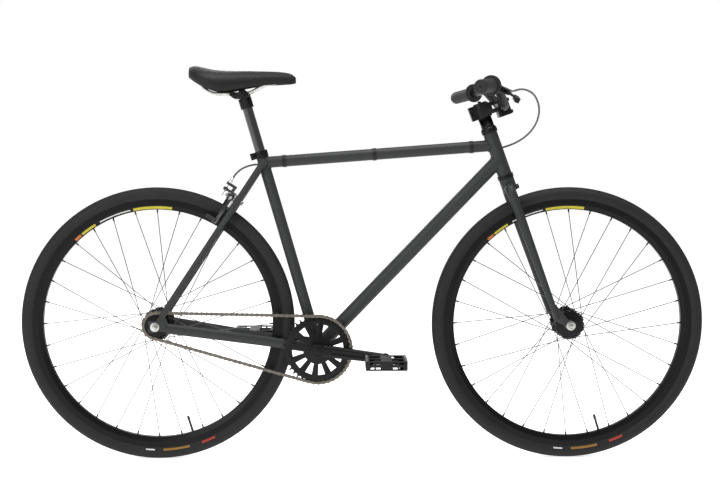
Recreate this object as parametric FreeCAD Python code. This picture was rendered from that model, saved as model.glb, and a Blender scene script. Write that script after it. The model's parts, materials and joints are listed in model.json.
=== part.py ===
import FreeCAD, Part
import math
import os

from FreeCAD import Rotation, Vector

# Fixed gear bike, millimetres and degrees.
# +X points forward, +Y to the rider's left, +Z up. The drive side is at -Y.
# The origin is on the ground, half way between the two axles, in the centre plane.

# Shared by every piece
overrun = 5.0
slide_clearance = 0.05
touch_gap = 0.3
weld_wall = 1.2
full_turn = 360.0

# Stance
wheelbase = 1040.0
chain_stay_length = 409.4
bottom_bracket_drop = 61.0
seat_angle = 73.8
head_angle = 70.0
fork_offset = 23.3

# Tyre, inner tube and valve
bead_diameter = 622.0
tyre_width = 35.0
tyre_height = 35.0
tyre_wall = 2.7
tyre_neck = 2.4
inner_tube_wall = 1.0
valve_diameter = 6.0
valve_length = 62.0
valve_cap_length = 9.0
valve_cap_diameter = 7.6
valve_angle = -73.125

# Rim
rim_width = 24.0
rim_channel = 19.0
rim_nose_width = 13.0
rim_depth = 27.0
rim_flange_height = 6.0
rim_well_depth = 4.0
rim_well_width = 10.0
rim_wall = 2.2
brake_track = 15.0
valve_hole_clearance = 0.3

# Spokes and nipples
spoke_count = 32
spoke_crossings = 3
spoke_diameter = 2.0
spoke_bend_share = 0.3
spoke_hole_clearance = 0.15
spoke_head_diameter = 3.8
spoke_head_length = 1.2
spoke_stagger = 1.5
nipple_diameter = 4.0
nipple_length = 11.0
nipple_head_diameter = 5.8
nipple_head_length = 3.0
nipple_seat = 0.5
spoke_in_nipple = 8.0
first_spoke_angle = 90.0

# Hubs
flange_diameter = 77.0
flange_thickness = 4.0
spoke_circle = 69.0
flange_bevel_width = 7.0
flange_bevel_depth = 2.4
scallop_diameter = 8.0
scallop_depth = 2.6
hub_barrel_diameter = 34.0
hub_end_diameter = 31.0
hub_bearing_diameter = 26.0
hub_bearing_width = 8.0
hub_bearing_inset = 1.0
front_flange_spacing = 66.0
rear_flange_spacing = 60.0
front_hub_end_gap = 6.0
rear_hub_end_gap = 11.0

# Axles, washers and nuts
front_axle_diameter = 9.0
rear_axle_diameter = 10.0
front_dropout_spacing = 100.0
rear_dropout_spacing = 120.0
axle_spacer_diameter = 17.0
washer_diameter = 23.0
washer_thickness = 1.8
nut_across_flats = 15.0
nut_thickness = 9.0
axle_thread_beyond_nut = 5.0
axle_slot_clearance = 0.2

# Frame tubes
head_tube_tyre_gap = 64.0
head_tube_length = 112.0
head_tube_diameter = 36.0
head_tube_bore = 31.0
seat_tube_length = 516.5
seat_tube_diameter = 28.6
top_tube_diameter = 28.6
top_tube_seat_drop = 28.0
top_tube_drop = 33.3
down_tube_diameter = 34.9
down_tube_rise = 41.5
bottom_bracket_width = 68.0
bottom_bracket_diameter = 44.0

# Stays, bridges and rear dropouts
chain_stay_width = 16.0
chain_stay_height = 25.0
chain_stay_tyre_gap = 4.5
chain_stay_start = 12.0
chain_stay_bend = 128.0
stay_bend_share = 0.45
stay_end_from_axle = 30.0
seat_stay_diameter = 16.0
seat_stay_top_overlap = 2.3
brake_bridge_tyre_gap = 26.0
brake_bridge_diameter = 16.0
stay_bridge_diameter = 14.0
stay_bridge_tyre_gap = 12.4
dropout_thickness = 6.0
dropout_half_height = 14.0
dropout_rear_reach = 16.0
dropout_tongue_height = 17.0
dropout_tongue_length = 48.0
dropout_post_width = 11.0
dropout_post_length = 50.0
dropout_web_share = 0.8

# Headset
cup_diameter = 41.0
cup_height = 10.0
cup_floor = 2.0
cup_skirt = 8.0
headset_bearing_diameter = 35.0
headset_bearing_height = 7.6
headset_cover_height = 5.0
headset_cover_top_diameter = 35.0
spacer_diameter = 33.4
spacer_count = 2
spacer_stack = 25.6

# Seat clamp
seat_clamp_diameter = 35.0
seat_clamp_height = 15.0
seat_clamp_lip = 2.0
seat_clamp_ear_reach = 27.0
seat_clamp_ear_width = 18.0
seat_clamp_slit = 2.0
seat_clamp_bolt_reach = 21.5
clamp_bolt_diameter = 5.0
clamp_bolt_head_diameter = 9.5
clamp_bolt_head_length = 4.5

# Seat post and saddle
seat_post_diameter = 25.4
seat_post_length = 300.0
seat_post_exposed = 139.5
seat_post_wall = 2.2
saddle_collar_diameter = 33.0
saddle_collar_height = 26.0
saddle_yoke_rise = 11.2
saddle_yoke_diameter = 22.0
saddle_yoke_width = 58.0
saddle_bolt_head_diameter = 13.0
saddle_bolt_head_length = 6.0
saddle_cheek_length = 50.0
saddle_cheek_height = 14.5
saddle_cheek_width = 13.0
saddle_cheek_behind_yoke = 34.0
saddle_cheek_below_yoke = 12.0
rail_diameter = 7.0
rail_bend_share = 0.4
saddle_base_thickness = 5.0
saddle_cavity_depth = 12.0
saddle_behind_post = 134.0
saddle_over_post = 56.2
rail_spacing = 44.0
saddle_length = 266.0
saddle_width = 150.0
saddle_depth = 54.0

# Outline of the clamp cheeks, shares of their length from the rear and of their height from below
saddle_cheek_shares = (
    (0.00, 0.60),
    (0.10, 1.00),
    (1.00, 1.00),
    (1.00, 0.35),
    (0.86, 0.00),
    (0.22, 0.00),
)

# Rails, shares of the saddle length from its tail, of the half spacing, and of the rise to the base
rail_shares = (
    (0.083, 1.50, 0.95),
    (0.145, 1.28, 0.42),
    (0.232, 1.07, 0.0),
    (0.330, 1.00, 0.0),
    (0.560, 1.00, 0.0),
    (0.700, 0.72, 0.76),
    (0.902, 0.36, 0.95),
)

# Saddle sections, shares of the saddle length, width and depth:
# place along the length, half width, crown above the top line, shoulder drop, skirt bottom
saddle_section_shares = (
    (0.000, 0.17, 0.20, -0.06, 0.30),
    (0.055, 0.36, 0.25, 0.02, 0.50),
    (0.130, 0.46, 0.18, 0.08, 0.72),
    (0.220, 0.49, 0.08, 0.14, 0.88),
    (0.330, 0.44, 0.02, 0.18, 0.96),
    (0.450, 0.33, 0.00, 0.18, 0.86),
    (0.560, 0.235, 0.00, 0.17, 0.76),
    (0.680, 0.180, 0.00, 0.16, 0.68),
    (0.800, 0.150, -0.01, 0.17, 0.63),
    (0.900, 0.130, -0.05, 0.20, 0.60),
    (0.965, 0.095, -0.14, 0.26, 0.58),
    (1.000, 0.045, -0.28, 0.36, 0.54),
)
saddle_skirt_width_share = 0.90
saddle_cavity_width_share = 0.80
saddle_base_width_share = 0.78
saddle_shoulder_width_share = 0.80

# Fork
steerer_diameter = 28.6
steerer_wall = 1.6
crown_diameter = 38.0
crown_height = 34.0
crown_gap = 0.4
blade_top_diameter = 25.0
blade_low_diameter = 15.0
blade_tyre_gap = 9.0
blade_setback = 3.0
blade_low_height = 29.0
blade_elbow_drop = 9.6
blade_elbow_radius = 21.0
fork_dropout_thickness = 6.0
fork_dropout_radius = 13.0
fork_dropout_top_height = 66.0
fork_dropout_inset_share = 0.25
crown_plug_rise = 6.4
crown_plug_diameter = 12.0
crown_plug_length = 5.0

# Stem
stem_height = 36.0
stem_clamp_diameter = 41.0
stem_reach = 52.0
stem_bar_rise = 8.0
stem_width = 50.0
stem_neck_width = 42.0
stem_neck_height = 30.0
stem_front_height = 42.0
stem_front_depth = 17.0
stem_split = 1.2
stem_plate_depth = 15.0
stem_ear_reach = 32.0
stem_ear_width = 24.0
stem_slit = 2.0
stem_pinch_reach = 25.5
stem_pinch_spread = 19.0
stem_bolt_diameter = 5.0
stem_bolt_head_diameter = 8.5
stem_bolt_head_length = 4.0
stem_bolt_spread_y = 36.0
stem_bolt_spread_h = 31.0
stem_bolt_length = 26.0
stem_window_height = 9.0
stem_window_length = 15.0
stem_window_gap = 5.0
stem_cap_diameter = 34.0
stem_cap_height = 3.0

# Handlebar and grips: forward, half spread and height from the middle of the stem clamp
bar_diameter = 22.2
bar_wall = 2.2
bar_bend_forward = 0.0
bar_bend_y = 45.0
bar_bend_rise = 0.0
bar_shoulder_forward = -31.0
bar_shoulder_y = 125.0
bar_shoulder_rise = 50.0
bar_end_forward = -89.0
bar_end_y = 300.0
bar_end_rise = 37.0
bar_bend_share = 0.215
grip_length = 121.0
grip_diameter = 33.0
grip_flange_diameter = 49.0
grip_flange_thickness = 4.5
grip_end_thickness = 5.0

# Brake lever
lever_from_grip = 35.0
lever_drop_angle = -25.0
lever_clamp_width = 15.0
lever_clamp_diameter = 31.0
lever_perch_reach = 42.0
lever_perch_inboard = 22.0
lever_perch_outboard = 9.0
lever_perch_thickness = 12.0
lever_pin_reach = 35.0
lever_pin_diameter = 5.0
lever_blade_thickness = 5.0
lever_eye_radius = 7.0
lever_knee_reach = 64.0
lever_knee_out = 30.0
lever_tip_reach = 76.0
lever_tip_out = 66.0
lever_blade_width = 12.0
lever_adjuster_reach = 37.0
lever_adjuster_diameter = 8.0
lever_adjuster_length = 16.0

# Rear caliper, measured from the brake bridge: up the stays, sideways and backwards
caliper_arm_thickness = 8.0
caliper_spacer_length = 6.0
caliper_arm_gap = 0.5
caliper_eye_radius = 10.0
caliper_half_span = 39.0
caliper_bolt_diameter = 6.0
caliper_nut_thickness = 6.0
caliper_nut_across_flats = 10.0
caliper_spacer_diameter = 18.0
pad_below_rim_edge = 14.0
pad_gap_to_rim = 2.6
pad_length = 50.0
pad_height = 10.0
pad_thickness = 9.0
pad_post_diameter = 7.0
pad_eye_diameter = 13.0
caliper_barrel_y = 33.0
caliper_barrel_height = 22.0
caliper_barrel_back = 45.0
caliper_barrel_diameter = 8.0
caliper_barrel_length = 22.0
caliper_barrel_bore = 5.0
caliper_lug_thickness = 7.0
caliper_lug_half_width = 5.2
caliper_lug_root_share = 0.4
caliper_anchor_height = 6.5
caliper_anchor_diameter = 9.0
caliper_anchor_length = 10.0
inner_wire_diameter = 1.6
brake_spring_diameter = 2.0
brake_spring_bend_share = 0.3
brake_spring_half_width = 25.0
brake_spring_drop = 30.0

# Caliper arm outline, shares of the arm's half span sideways and of the drop from pivot to pad
arm_outline_shares = (
    (0.00, 0.15),
    (0.42, 0.11),
    (0.66, 0.00),
    (0.97, -0.26),
    (1.00, -0.65),
    (0.94, -1.10),
    (0.70, -1.10),
    (0.74, -0.68),
    (0.70, -0.39),
    (0.49, -0.19),
    (0.00, -0.15),
)

# Brake housing
housing_diameter = 5.0
housing_tube_gap = 1.0
housing_lead = 22.0
housing_side_angle = -43.0
clip_width = 9.0
clip_wall = 1.3
clip_lead = 20.0
clip_places_share = (0.09, 0.48, 0.90)
route_bend_share = 0.45

# Front loop of the housing, from the lever adjuster to the first clip: forward, sideways and up
# from the middle of the stem clamp
front_route = (
    (37.32, -85.0, 43.62),
    (66.32, -66.0, 33.62),
    (82.32, -45.0, 11.62),
    (89.32, -22.0, -12.38),
    (85.32, -2.0, -39.38),
    (69.32, 13.0, -65.38),
    (42.32, 23.0, -86.38),
    (9.32, 27.5, -99.38),
    (-23.68, 25.0, -106.38),
)

# Rear end of the housing, from the last clip to the caliper barrel: forward, sideways and up
# from the rear end of the top tube
rear_route = (
    (5.46, 34.5, -4.10),
    (-34.54, 37.0, -5.60),
)

# Drive
chain_pitch = 12.7
chainring_teeth = 42
cog_teeth = 16
chain_line = 43.0
sprocket_thickness = 2.8
roller_diameter = 7.8
roller_seat_clearance = 0.6
tooth_height = 3.0
tooth_tip_width = 1.6
chain_inner_width = 3.5
chain_plate_thickness = 1.1
chain_plate_height = 8.2
chain_waist_height = 6.2
chain_plate_gap = 0.1
chain_pin_diameter = 3.6
chain_pin_beyond = 0.5
cog_carrier_diameter = 34.0
lockring_diameter = 39.0
lockring_thickness = 4.0
chainring_window_count = 12
chainring_window_inner = 37.0
chainring_window_outer = 65.0
chainring_window_inner_half_angle = 5.6
chainring_window_outer_half_angle = 7.8
chainring_hub_diameter = 62.0
chainring_hub_thickness = 5.5

# Cranks and pedals
crank_length = 170.0
crank_angle = -6.66
spindle_diameter = 19.0
bracket_bearing_diameter = 37.0
bracket_bearing_width = 10.0
spindle_collar_diameter = 28.0
crank_ring_gap = 0.75
crank_boss_diameter = 36.0
crank_boss_width = 23.0
crank_eye_diameter = 27.0
crank_flare = 13.5
crank_eye_width = 14.0
crank_root_height = 30.0
crank_tip_height = 24.0
crank_root_share = 0.07
crank_tip_share = 0.97
crank_root_thickness = 16.0
crank_tip_thickness = 12.5
crank_chamfer_share = 0.22
crank_groove_height = 10.0
crank_groove_depth = 2.0
crank_groove_shares = (0.2, 0.82)
spindle_bolt_diameter = 17.0
spindle_bolt_length = 4.0
sprocket_bolt_reach = 30.0
sprocket_bolt_diameter = 8.0
sprocket_bolt_head_diameter = 11.0
sprocket_bolt_head_length = 3.0
pedal_axle_diameter = 12.0
pedal_flange_diameter = 17.0
pedal_flange_thickness = 5.0
pedal_gap = 0.4
pedal_width = 97.0
pedal_length = 102.0
pedal_thickness = 23.0
pedal_corner_radius = 9.0
pedal_spine_width = 26.0
pedal_rail_width = 9.0
pedal_plate_width = 7.0
pedal_rib_width = 6.0
pedal_window_height = 5.5
pedal_window_length = 11.0
pedal_window_gap = 4.0
pedal_row_spread = 11.0

# Reference points and directions
across = Vector(0, 1, 0)
upward = Vector(0, 0, 1)
bead_radius = bead_diameter / 2
axle_height = bead_radius + tyre_height
rear_axle = Vector(-wheelbase / 2, 0, axle_height)
front_axle = Vector(wheelbase / 2, 0, axle_height)
stay_run = math.sqrt(chain_stay_length**2 - bottom_bracket_drop**2)
bracket = rear_axle + Vector(stay_run, 0, -bottom_bracket_drop)
stay_forward = (bracket - rear_axle).normalize()
seat_up = Vector(-math.cos(math.radians(seat_angle)), 0, math.sin(math.radians(seat_angle)))
seat_back = Vector(-seat_up.z, 0, seat_up.x)
steer_up = Vector(-math.cos(math.radians(head_angle)), 0, math.sin(math.radians(head_angle)))
steer_forward = Vector(steer_up.z, 0, -steer_up.x)
steer_foot = front_axle - steer_forward * fork_offset

# Places worked out from the sizes
rim_top = bead_radius + rim_flange_height
rim_nose = rim_top - rim_depth
front_hub_width = front_dropout_spacing - 2 * front_hub_end_gap
rear_hub_width = rear_dropout_spacing - 2 * rear_hub_end_gap
head_tube_base = axle_height + head_tube_tyre_gap
cup_top = head_tube_base + head_tube_length
crown_high = head_tube_base - cup_height - crown_gap
crown_low = crown_high - crown_height
blade_elbow_height = crown_low - blade_elbow_drop
blade_top_y = tyre_width / 2 + blade_tyre_gap + blade_top_diameter / 2
blade_low_y = front_dropout_spacing / 2 + fork_dropout_thickness / 2
cover_base = cup_top + cup_height + crown_gap
stem_base = cover_base + headset_cover_height + spacer_stack
stem_high = stem_base + stem_height
stem_bar_height = stem_base + stem_bar_rise
top_tube_seat_height = seat_tube_length - top_tube_seat_drop
seat_post_top = seat_tube_length + seat_post_exposed
saddle_yoke_height = seat_post_top + saddle_yoke_rise
chain_stay_inner_y = tyre_width / 2 + chain_stay_tyre_gap + chain_stay_width / 2
stay_bridge_from_bracket = chain_stay_length - axle_height - stay_bridge_tyre_gap
seat_stay_top_y = (seat_tube_diameter + seat_stay_diameter) / 2 - seat_stay_top_overlap
brake_bridge_from_axle = axle_height + brake_bridge_tyre_gap
pad_from_axle = rim_top - pad_below_rim_edge
crank_inner_y = chain_line + chainring_hub_thickness / 2 + crank_ring_gap
crank_eye_inner_y = crank_inner_y + crank_flare


def on_steerer(height, forward=0, side=0):
    return steer_foot + steer_up * height + steer_forward * forward + across * side


def on_seat_tube(height, back=0, side=0):
    return bracket + seat_up * height + seat_back * back + across * side


def around(centre, radius, angle, side=0):
    """A point at a radius and an angle round a centre in the plane of the wheels."""
    turn = math.radians(angle)
    return centre + Vector(radius * math.cos(turn), side, radius * math.sin(turn))


def mirrored(shape):
    return shape.mirror(Vector(0, 0, 0), across)


def both_sides(shape):
    return Part.makeCompound([shape, mirrored(shape)])


def rod(start, end, diameter):
    return Part.makeCylinder(diameter / 2, (end - start).Length, start, end - start)


def pipe(start, end, outer, inner):
    return rod(start, end, outer).cut(rod(start, end, inner))


def taper(start, end, first, last):
    return Part.makeCone(first / 2, last / 2, (end - start).Length, start, end - start)


def closed_face(points):
    return Part.Face(Part.makePolygon(list(points) + [points[0]]))


def prism(points, depth):
    return closed_face(points).extrude(depth)


def spun(centre, outline):
    """A solid of revolution about the wheel axis from points of radius and side."""
    points = [centre + Vector(radius, side, 0) for radius, side in outline]
    return closed_face(points).revolve(centre, across, full_turn)


def hexagon(start, direction, across_flats, bore):
    """A nut: a hexagonal prism with a round hole."""
    side = direction.cross(upward)
    if side.Length < math.sin(math.radians(1)):
        side = direction.cross(across)
    side.normalize()
    other = direction.cross(side).normalize()
    corner = across_flats / math.sqrt(3)
    points = []
    for step in range(6):
        turn = math.radians(60 * step)
        points.append(start + side * (corner * math.cos(turn)) + other * (corner * math.sin(turn)))
    nut = prism(points, direction)
    return nut.cut(rod(start, start + direction, bore))


def route_wire(points, bend_share):
    """Straight runs joined by tangent arcs as large as the bend share of the shorter run allows."""
    edges = []
    radii = []
    start = points[0]
    for before, corner, after in zip(points, points[1:], points[2:]):
        back = before - corner
        ahead = after - corner
        reach = bend_share * min(back.Length, ahead.Length)
        back.normalize()
        ahead.normalize()
        half_turn = (math.pi - back.getAngle(ahead)) / 2
        middle = (back + ahead).normalize()
        radius = reach / math.tan(half_turn)
        radii.append(radius)
        first = corner + back * reach
        last = corner + ahead * reach
        centre = corner + middle * (radius / math.cos(half_turn))
        crest = centre - middle * radius
        edges.append(Part.LineSegment(start, first).toShape())
        edges.append(Part.Arc(first, crest, last).toShape())
        start = last
    edges.append(Part.LineSegment(start, points[-1]).toShape())
    return Part.Wire(edges), radii


def swept(points, diameter, bend_share):
    """A round bar bent along a route."""
    wire, radii = route_wire(points, bend_share)
    circle = Part.Wire(Part.makeCircle(diameter / 2, points[0], points[1] - points[0]))
    return wire.makePipeShell([circle], True, False)


# Frame tubes and shells

head_tube_low = on_steerer(head_tube_base)
head_tube_high = on_steerer(head_tube_base + head_tube_length)
top_tube_rear = on_seat_tube(top_tube_seat_height)
top_tube_front = on_steerer(head_tube_base + head_tube_length - top_tube_drop)
top_tube_run = top_tube_front - top_tube_rear
down_tube_front = on_steerer(head_tube_base + down_tube_rise)
shell_right = bracket - across * (bottom_bracket_width / 2)
shell_left = bracket + across * (bottom_bracket_width / 2)
head_core = rod(head_tube_low, head_tube_high, head_tube_diameter)
shell_core = rod(shell_right, shell_left, bottom_bracket_diameter)
seat_tube_top = on_seat_tube(seat_tube_length)
seat_core = rod(bracket, seat_tube_top, seat_tube_diameter)
top_core = rod(top_tube_rear, top_tube_front, top_tube_diameter)
post_bore = seat_post_diameter + 2 * slide_clearance


def make_head_tube():
    return pipe(head_tube_low, head_tube_high, head_tube_diameter, head_tube_bore)


def make_seat_tube():
    return pipe(bracket, seat_tube_top, seat_tube_diameter, post_bore).cut(shell_core)


def make_top_tube():
    tube = pipe(top_tube_rear, top_tube_front, top_tube_diameter, top_tube_diameter - 2 * weld_wall)
    return tube.cut(seat_core).cut(head_core)


def make_down_tube():
    tube = pipe(bracket, down_tube_front, down_tube_diameter, down_tube_diameter - 2 * weld_wall)
    return tube.cut(shell_core).cut(head_core).cut(seat_core)


def make_bottom_bracket_shell():
    return pipe(shell_right, shell_left, bottom_bracket_diameter, bracket_bearing_diameter)


# Rear triangle

stay_outer_y = rear_dropout_spacing / 2 + dropout_thickness / 2
seat_stay_run = (top_tube_rear - rear_axle).normalize()
seat_stay_length = (top_tube_rear - rear_axle).Length
caliper_back = Vector(-seat_stay_run.z, 0, seat_stay_run.x)


def on_chain_stay(distance, side):
    return bracket - stay_forward * distance + across * side


def on_seat_stay(distance):
    """A point on the left seat stay's centre line, at a distance from the rear axle."""
    share = (distance - stay_end_from_axle) / (seat_stay_length - stay_end_from_axle)
    side = stay_outer_y + (seat_stay_top_y - stay_outer_y) * share
    return rear_axle + seat_stay_run * distance + across * side


def left_dropout():
    """A flat track end with a slot that opens rearwards."""
    start = across * (rear_dropout_spacing / 2)
    depth = across * dropout_thickness
    stay_up = Vector(-stay_forward.z, 0, stay_forward.x)
    post_side = seat_stay_run.cross(across)
    rear = Vector(-dropout_rear_reach, 0, 0)
    half = Vector(0, 0, dropout_half_height)
    tongue_half = stay_up * (dropout_tongue_height / 2)
    post_half = post_side * (dropout_post_width / 2)
    tongue_end = rear_axle + stay_forward * dropout_tongue_length
    post_end = rear_axle + seat_stay_run * dropout_post_length
    web_front = rear_axle + stay_forward * (dropout_tongue_length * dropout_web_share)
    web_top = rear_axle + seat_stay_run * (dropout_post_length * dropout_web_share)
    outlines = (
        (rear_axle - half, rear_axle + half, rear_axle + half + rear, rear_axle - half + rear),
        (rear_axle - tongue_half, tongue_end - tongue_half, tongue_end + tongue_half,
         rear_axle + tongue_half),
        (rear_axle - post_half, post_end - post_half, post_end + post_half, rear_axle + post_half),
        (rear_axle, web_front, web_top),
    )
    plate = rod(rear_axle + start, rear_axle + start + depth, 2 * dropout_half_height)
    for outline in outlines:
        plate = plate.fuse(prism([point + start for point in outline], depth))
    slot_half = Vector(0, 0, rear_axle_diameter / 2 + axle_slot_clearance)
    slot_rear = rear_axle - Vector(dropout_rear_reach + dropout_half_height, 0, 0)
    slot_points = [rear_axle - slot_half, rear_axle + slot_half]
    slot_points += [slot_rear + slot_half, slot_rear - slot_half]
    slot = prism([point + start for point in slot_points], depth)
    slot_end = rod(rear_axle + start, rear_axle + start + depth, 2 * slot_half.z)
    return plate.cut(slot).cut(slot_end).removeSplitter()


def left_chain_stay(plate):
    points = [
        on_chain_stay(chain_stay_start, chain_stay_inner_y),
        on_chain_stay(chain_stay_bend, chain_stay_inner_y),
        on_chain_stay(chain_stay_length - stay_end_from_axle, stay_outer_y),
    ]
    wire, radii = route_wire(points, stay_bend_share)
    oval = Part.Ellipse(Vector(0, 0, 0), chain_stay_height / 2, chain_stay_width / 2).toShape()
    facing = (points[1] - points[0]).normalize()
    standing = across.cross(facing)
    oval.Placement = FreeCAD.Placement(points[0], Rotation(standing, across, facing, "ZXY"))
    stay = wire.makePipeShell([Part.Wire(oval)], True, False)
    shell_reach = across * bottom_bracket_width
    return stay.cut(rod(bracket - shell_reach, bracket + shell_reach, bottom_bracket_diameter)).cut(plate)


def left_seat_stay(plate):
    low = on_seat_stay(stay_end_from_axle)
    high = on_seat_stay(seat_stay_length + seat_stay_diameter / 2)
    stay = rod(low, high, seat_stay_diameter)
    return stay.cut(seat_core).cut(top_core).cut(plate)


dropout_plate = left_dropout()
chain_stay = left_chain_stay(dropout_plate)
seat_stay = left_seat_stay(dropout_plate)
bridge_centre = rear_axle + seat_stay_run * brake_bridge_from_axle


def on_caliper(up, side, back):
    return bridge_centre + seat_stay_run * up + across * side + caliper_back * back


def make_stay_bridges():
    brake_half = across * on_seat_stay(brake_bridge_from_axle).y
    brake_bridge = rod(bridge_centre - brake_half, bridge_centre + brake_half, brake_bridge_diameter)
    hole_reach = brake_bridge_diameter
    hole = rod(on_caliper(0, 0, -hole_reach), on_caliper(0, 0, hole_reach), caliper_bolt_diameter)
    stay_half = across * chain_stay_inner_y
    stay_centre = on_chain_stay(stay_bridge_from_bracket, 0)
    stay_bridge = rod(stay_centre - stay_half, stay_centre + stay_half, stay_bridge_diameter)
    brake_bridge = brake_bridge.cut(both_sides(seat_stay)).cut(hole)
    return Part.makeCompound([brake_bridge, stay_bridge.cut(both_sides(chain_stay))])


# Headset

steerer_running = steerer_diameter + 2 * slide_clearance


def headset_cup(end, direction):
    """A pressed cup: a skirt inside the head tube, a floor on its end and a wall round the bearing."""
    outward = steer_up * direction
    start = on_steerer(end)
    skirt = pipe(start - outward * cup_skirt, start, head_tube_bore, steerer_diameter + 2 * touch_gap)
    cup = pipe(start, start + outward * cup_height, cup_diameter, headset_bearing_diameter)
    floor = pipe(start, start + outward * cup_floor, cup_diameter, steerer_diameter + 2 * touch_gap)
    return cup.fuse(floor).fuse(skirt).removeSplitter()


def headset_bearing(end, direction):
    outward = steer_up * direction
    start = on_steerer(end) + outward * cup_floor
    return pipe(start, start + outward * headset_bearing_height, headset_bearing_diameter, steerer_running)


def make_headset_cups():
    return Part.makeCompound([headset_cup(head_tube_base, -1), headset_cup(cup_top, 1)])


def bracket_bearing(side):
    start = bracket + across * (side * bottom_bracket_width / 2)
    end = start - across * (side * bracket_bearing_width)
    return pipe(end, start, bracket_bearing_diameter, spindle_diameter + 2 * slide_clearance)


def make_frame_bearings():
    headset = [headset_bearing(head_tube_base, -1), headset_bearing(cup_top, 1)]
    return Part.makeCompound(headset + [bracket_bearing(-1), bracket_bearing(1)])


def make_headset_spacers():
    cover_high = cover_base + headset_cover_height
    cover = taper(on_steerer(cover_base), on_steerer(cover_high), cup_diameter, headset_cover_top_diameter)
    pieces = [cover.cut(rod(on_steerer(cover_base), on_steerer(cover_high), steerer_diameter))]
    height = (stem_base - cover_high) / spacer_count
    for index in range(spacer_count):
        low = cover_high + index * height
        pieces.append(pipe(on_steerer(low), on_steerer(low + height), spacer_diameter, steerer_diameter))
    return Part.makeCompound(pieces)


# Seat clamp, seat post and saddle

def make_seat_clamp():
    low = seat_tube_length - seat_clamp_height
    high = seat_tube_length + seat_clamp_lip
    ring = rod(on_seat_tube(low), on_seat_tube(high), seat_clamp_diameter)
    half = seat_clamp_ear_width / 2
    corners = [on_seat_tube(low, 0, -half), on_seat_tube(low, seat_clamp_ear_reach, -half)]
    corners += [on_seat_tube(high, seat_clamp_ear_reach, -half), on_seat_tube(high, 0, -half)]
    ring = ring.fuse(prism(corners, across * seat_clamp_ear_width))
    slit_half = seat_clamp_slit / 2
    slit_reach = seat_clamp_ear_reach + overrun
    slit_low = low - overrun
    slit_high = high + overrun
    slit = [on_seat_tube(slit_low, 0, -slit_half), on_seat_tube(slit_low, slit_reach, -slit_half)]
    slit += [on_seat_tube(slit_high, slit_reach, -slit_half), on_seat_tube(slit_high, 0, -slit_half)]
    ring = ring.cut(rod(on_seat_tube(low - overrun), seat_tube_top, seat_tube_diameter))
    ring = ring.cut(rod(on_seat_tube(low), on_seat_tube(high + overrun), post_bore))
    ring = ring.cut(prism(slit, across * seat_clamp_slit))
    ring = ring.cut(rod(top_tube_rear, top_tube_front, top_tube_diameter + 2 * touch_gap))
    middle = (low + high) / 2
    near = on_seat_tube(middle, seat_clamp_bolt_reach, -half)
    far = on_seat_tube(middle, seat_clamp_bolt_reach, half)
    bolt = rod(near, far, clamp_bolt_diameter)
    ring = ring.cut(bolt)
    head = across * clamp_bolt_head_length
    bolt = bolt.fuse(rod(near - head, near, clamp_bolt_head_diameter))
    bolt = bolt.fuse(rod(far, far + head, clamp_bolt_head_diameter)).removeSplitter()
    return Part.makeCompound([ring, bolt])


def make_seat_post():
    low = on_seat_tube(seat_post_top - seat_post_length)
    post_inner = seat_post_diameter - 2 * seat_post_wall
    tube = pipe(low, on_seat_tube(seat_post_top), seat_post_diameter, post_inner)
    plug = rod(on_seat_tube(seat_post_top - overrun), on_seat_tube(seat_post_top), seat_post_diameter)
    return tube.fuse(plug).removeSplitter()


saddle_root = on_seat_tube(saddle_yoke_height)
saddle_tail_x = saddle_root.x - saddle_behind_post
saddle_top_z = saddle_root.z + saddle_over_post


def skirt_height(along):
    """Height of the saddle's lower edge at a share of its length."""
    for before, after in zip(saddle_section_shares, saddle_section_shares[1:]):
        if before[0] <= along <= after[0]:
            mix = (along - before[0]) / (after[0] - before[0])
            share = before[-1] + (after[-1] - before[-1]) * mix
    return saddle_top_z - saddle_depth * share


def rail_route(side):
    """From a socket in the base at the tail, through the clamp, to a socket under the nose."""
    points = []
    base_middle = saddle_cavity_depth - touch_gap - saddle_base_thickness / 2
    for along, spacing_share, rise_share in rail_shares:
        rise = skirt_height(along) + base_middle - saddle_root.z
        half_spacing = side * rail_spacing / 2 * spacing_share
        x = saddle_tail_x + saddle_length * along
        points.append(Vector(x, half_spacing, saddle_root.z + rise * rise_share))
    return points


def rail(side):
    return swept(rail_route(side), rail_diameter, rail_bend_share)


saddle_rails = Part.makeCompound([rail(-1), rail(1)])


def saddle_cheek(inner_y):
    """One side cheek of the clamp, lying along a rail."""
    points = []
    for along, up in saddle_cheek_shares:
        x = saddle_root.x - saddle_cheek_behind_yoke + saddle_cheek_length * along
        z = saddle_root.z - saddle_cheek_below_yoke + saddle_cheek_height * up
        points.append(Vector(x, inner_y, z))
    return prism(points, across * saddle_cheek_width)


def make_saddle_clamp():
    collar_low = on_seat_tube(seat_post_top - saddle_collar_height)
    collar = pipe(collar_low, on_seat_tube(seat_post_top), saddle_collar_diameter, seat_post_diameter)
    half = across * (saddle_yoke_width / 2)
    centre = on_seat_tube(saddle_yoke_height)
    neck = rod(on_seat_tube(seat_post_top), centre, saddle_yoke_diameter)
    yoke = rod(centre - half, centre + half, saddle_yoke_diameter)
    bolt_reach = half + across * saddle_bolt_head_length
    bolt = rod(centre - half, centre + bolt_reach, saddle_bolt_head_diameter)
    bolt = bolt.fuse(rod(centre - bolt_reach, centre, saddle_bolt_head_diameter))
    cheek_half = saddle_cheek_width / 2
    left_cheek = saddle_cheek(rail_spacing / 2 - cheek_half)
    right_cheek = saddle_cheek(-rail_spacing / 2 - cheek_half)
    clamp = collar.fuse(neck).fuse(yoke).fuse(bolt).fuse(left_cheek).fuse(right_cheek).removeSplitter()
    return clamp.cut(saddle_rails)


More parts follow.
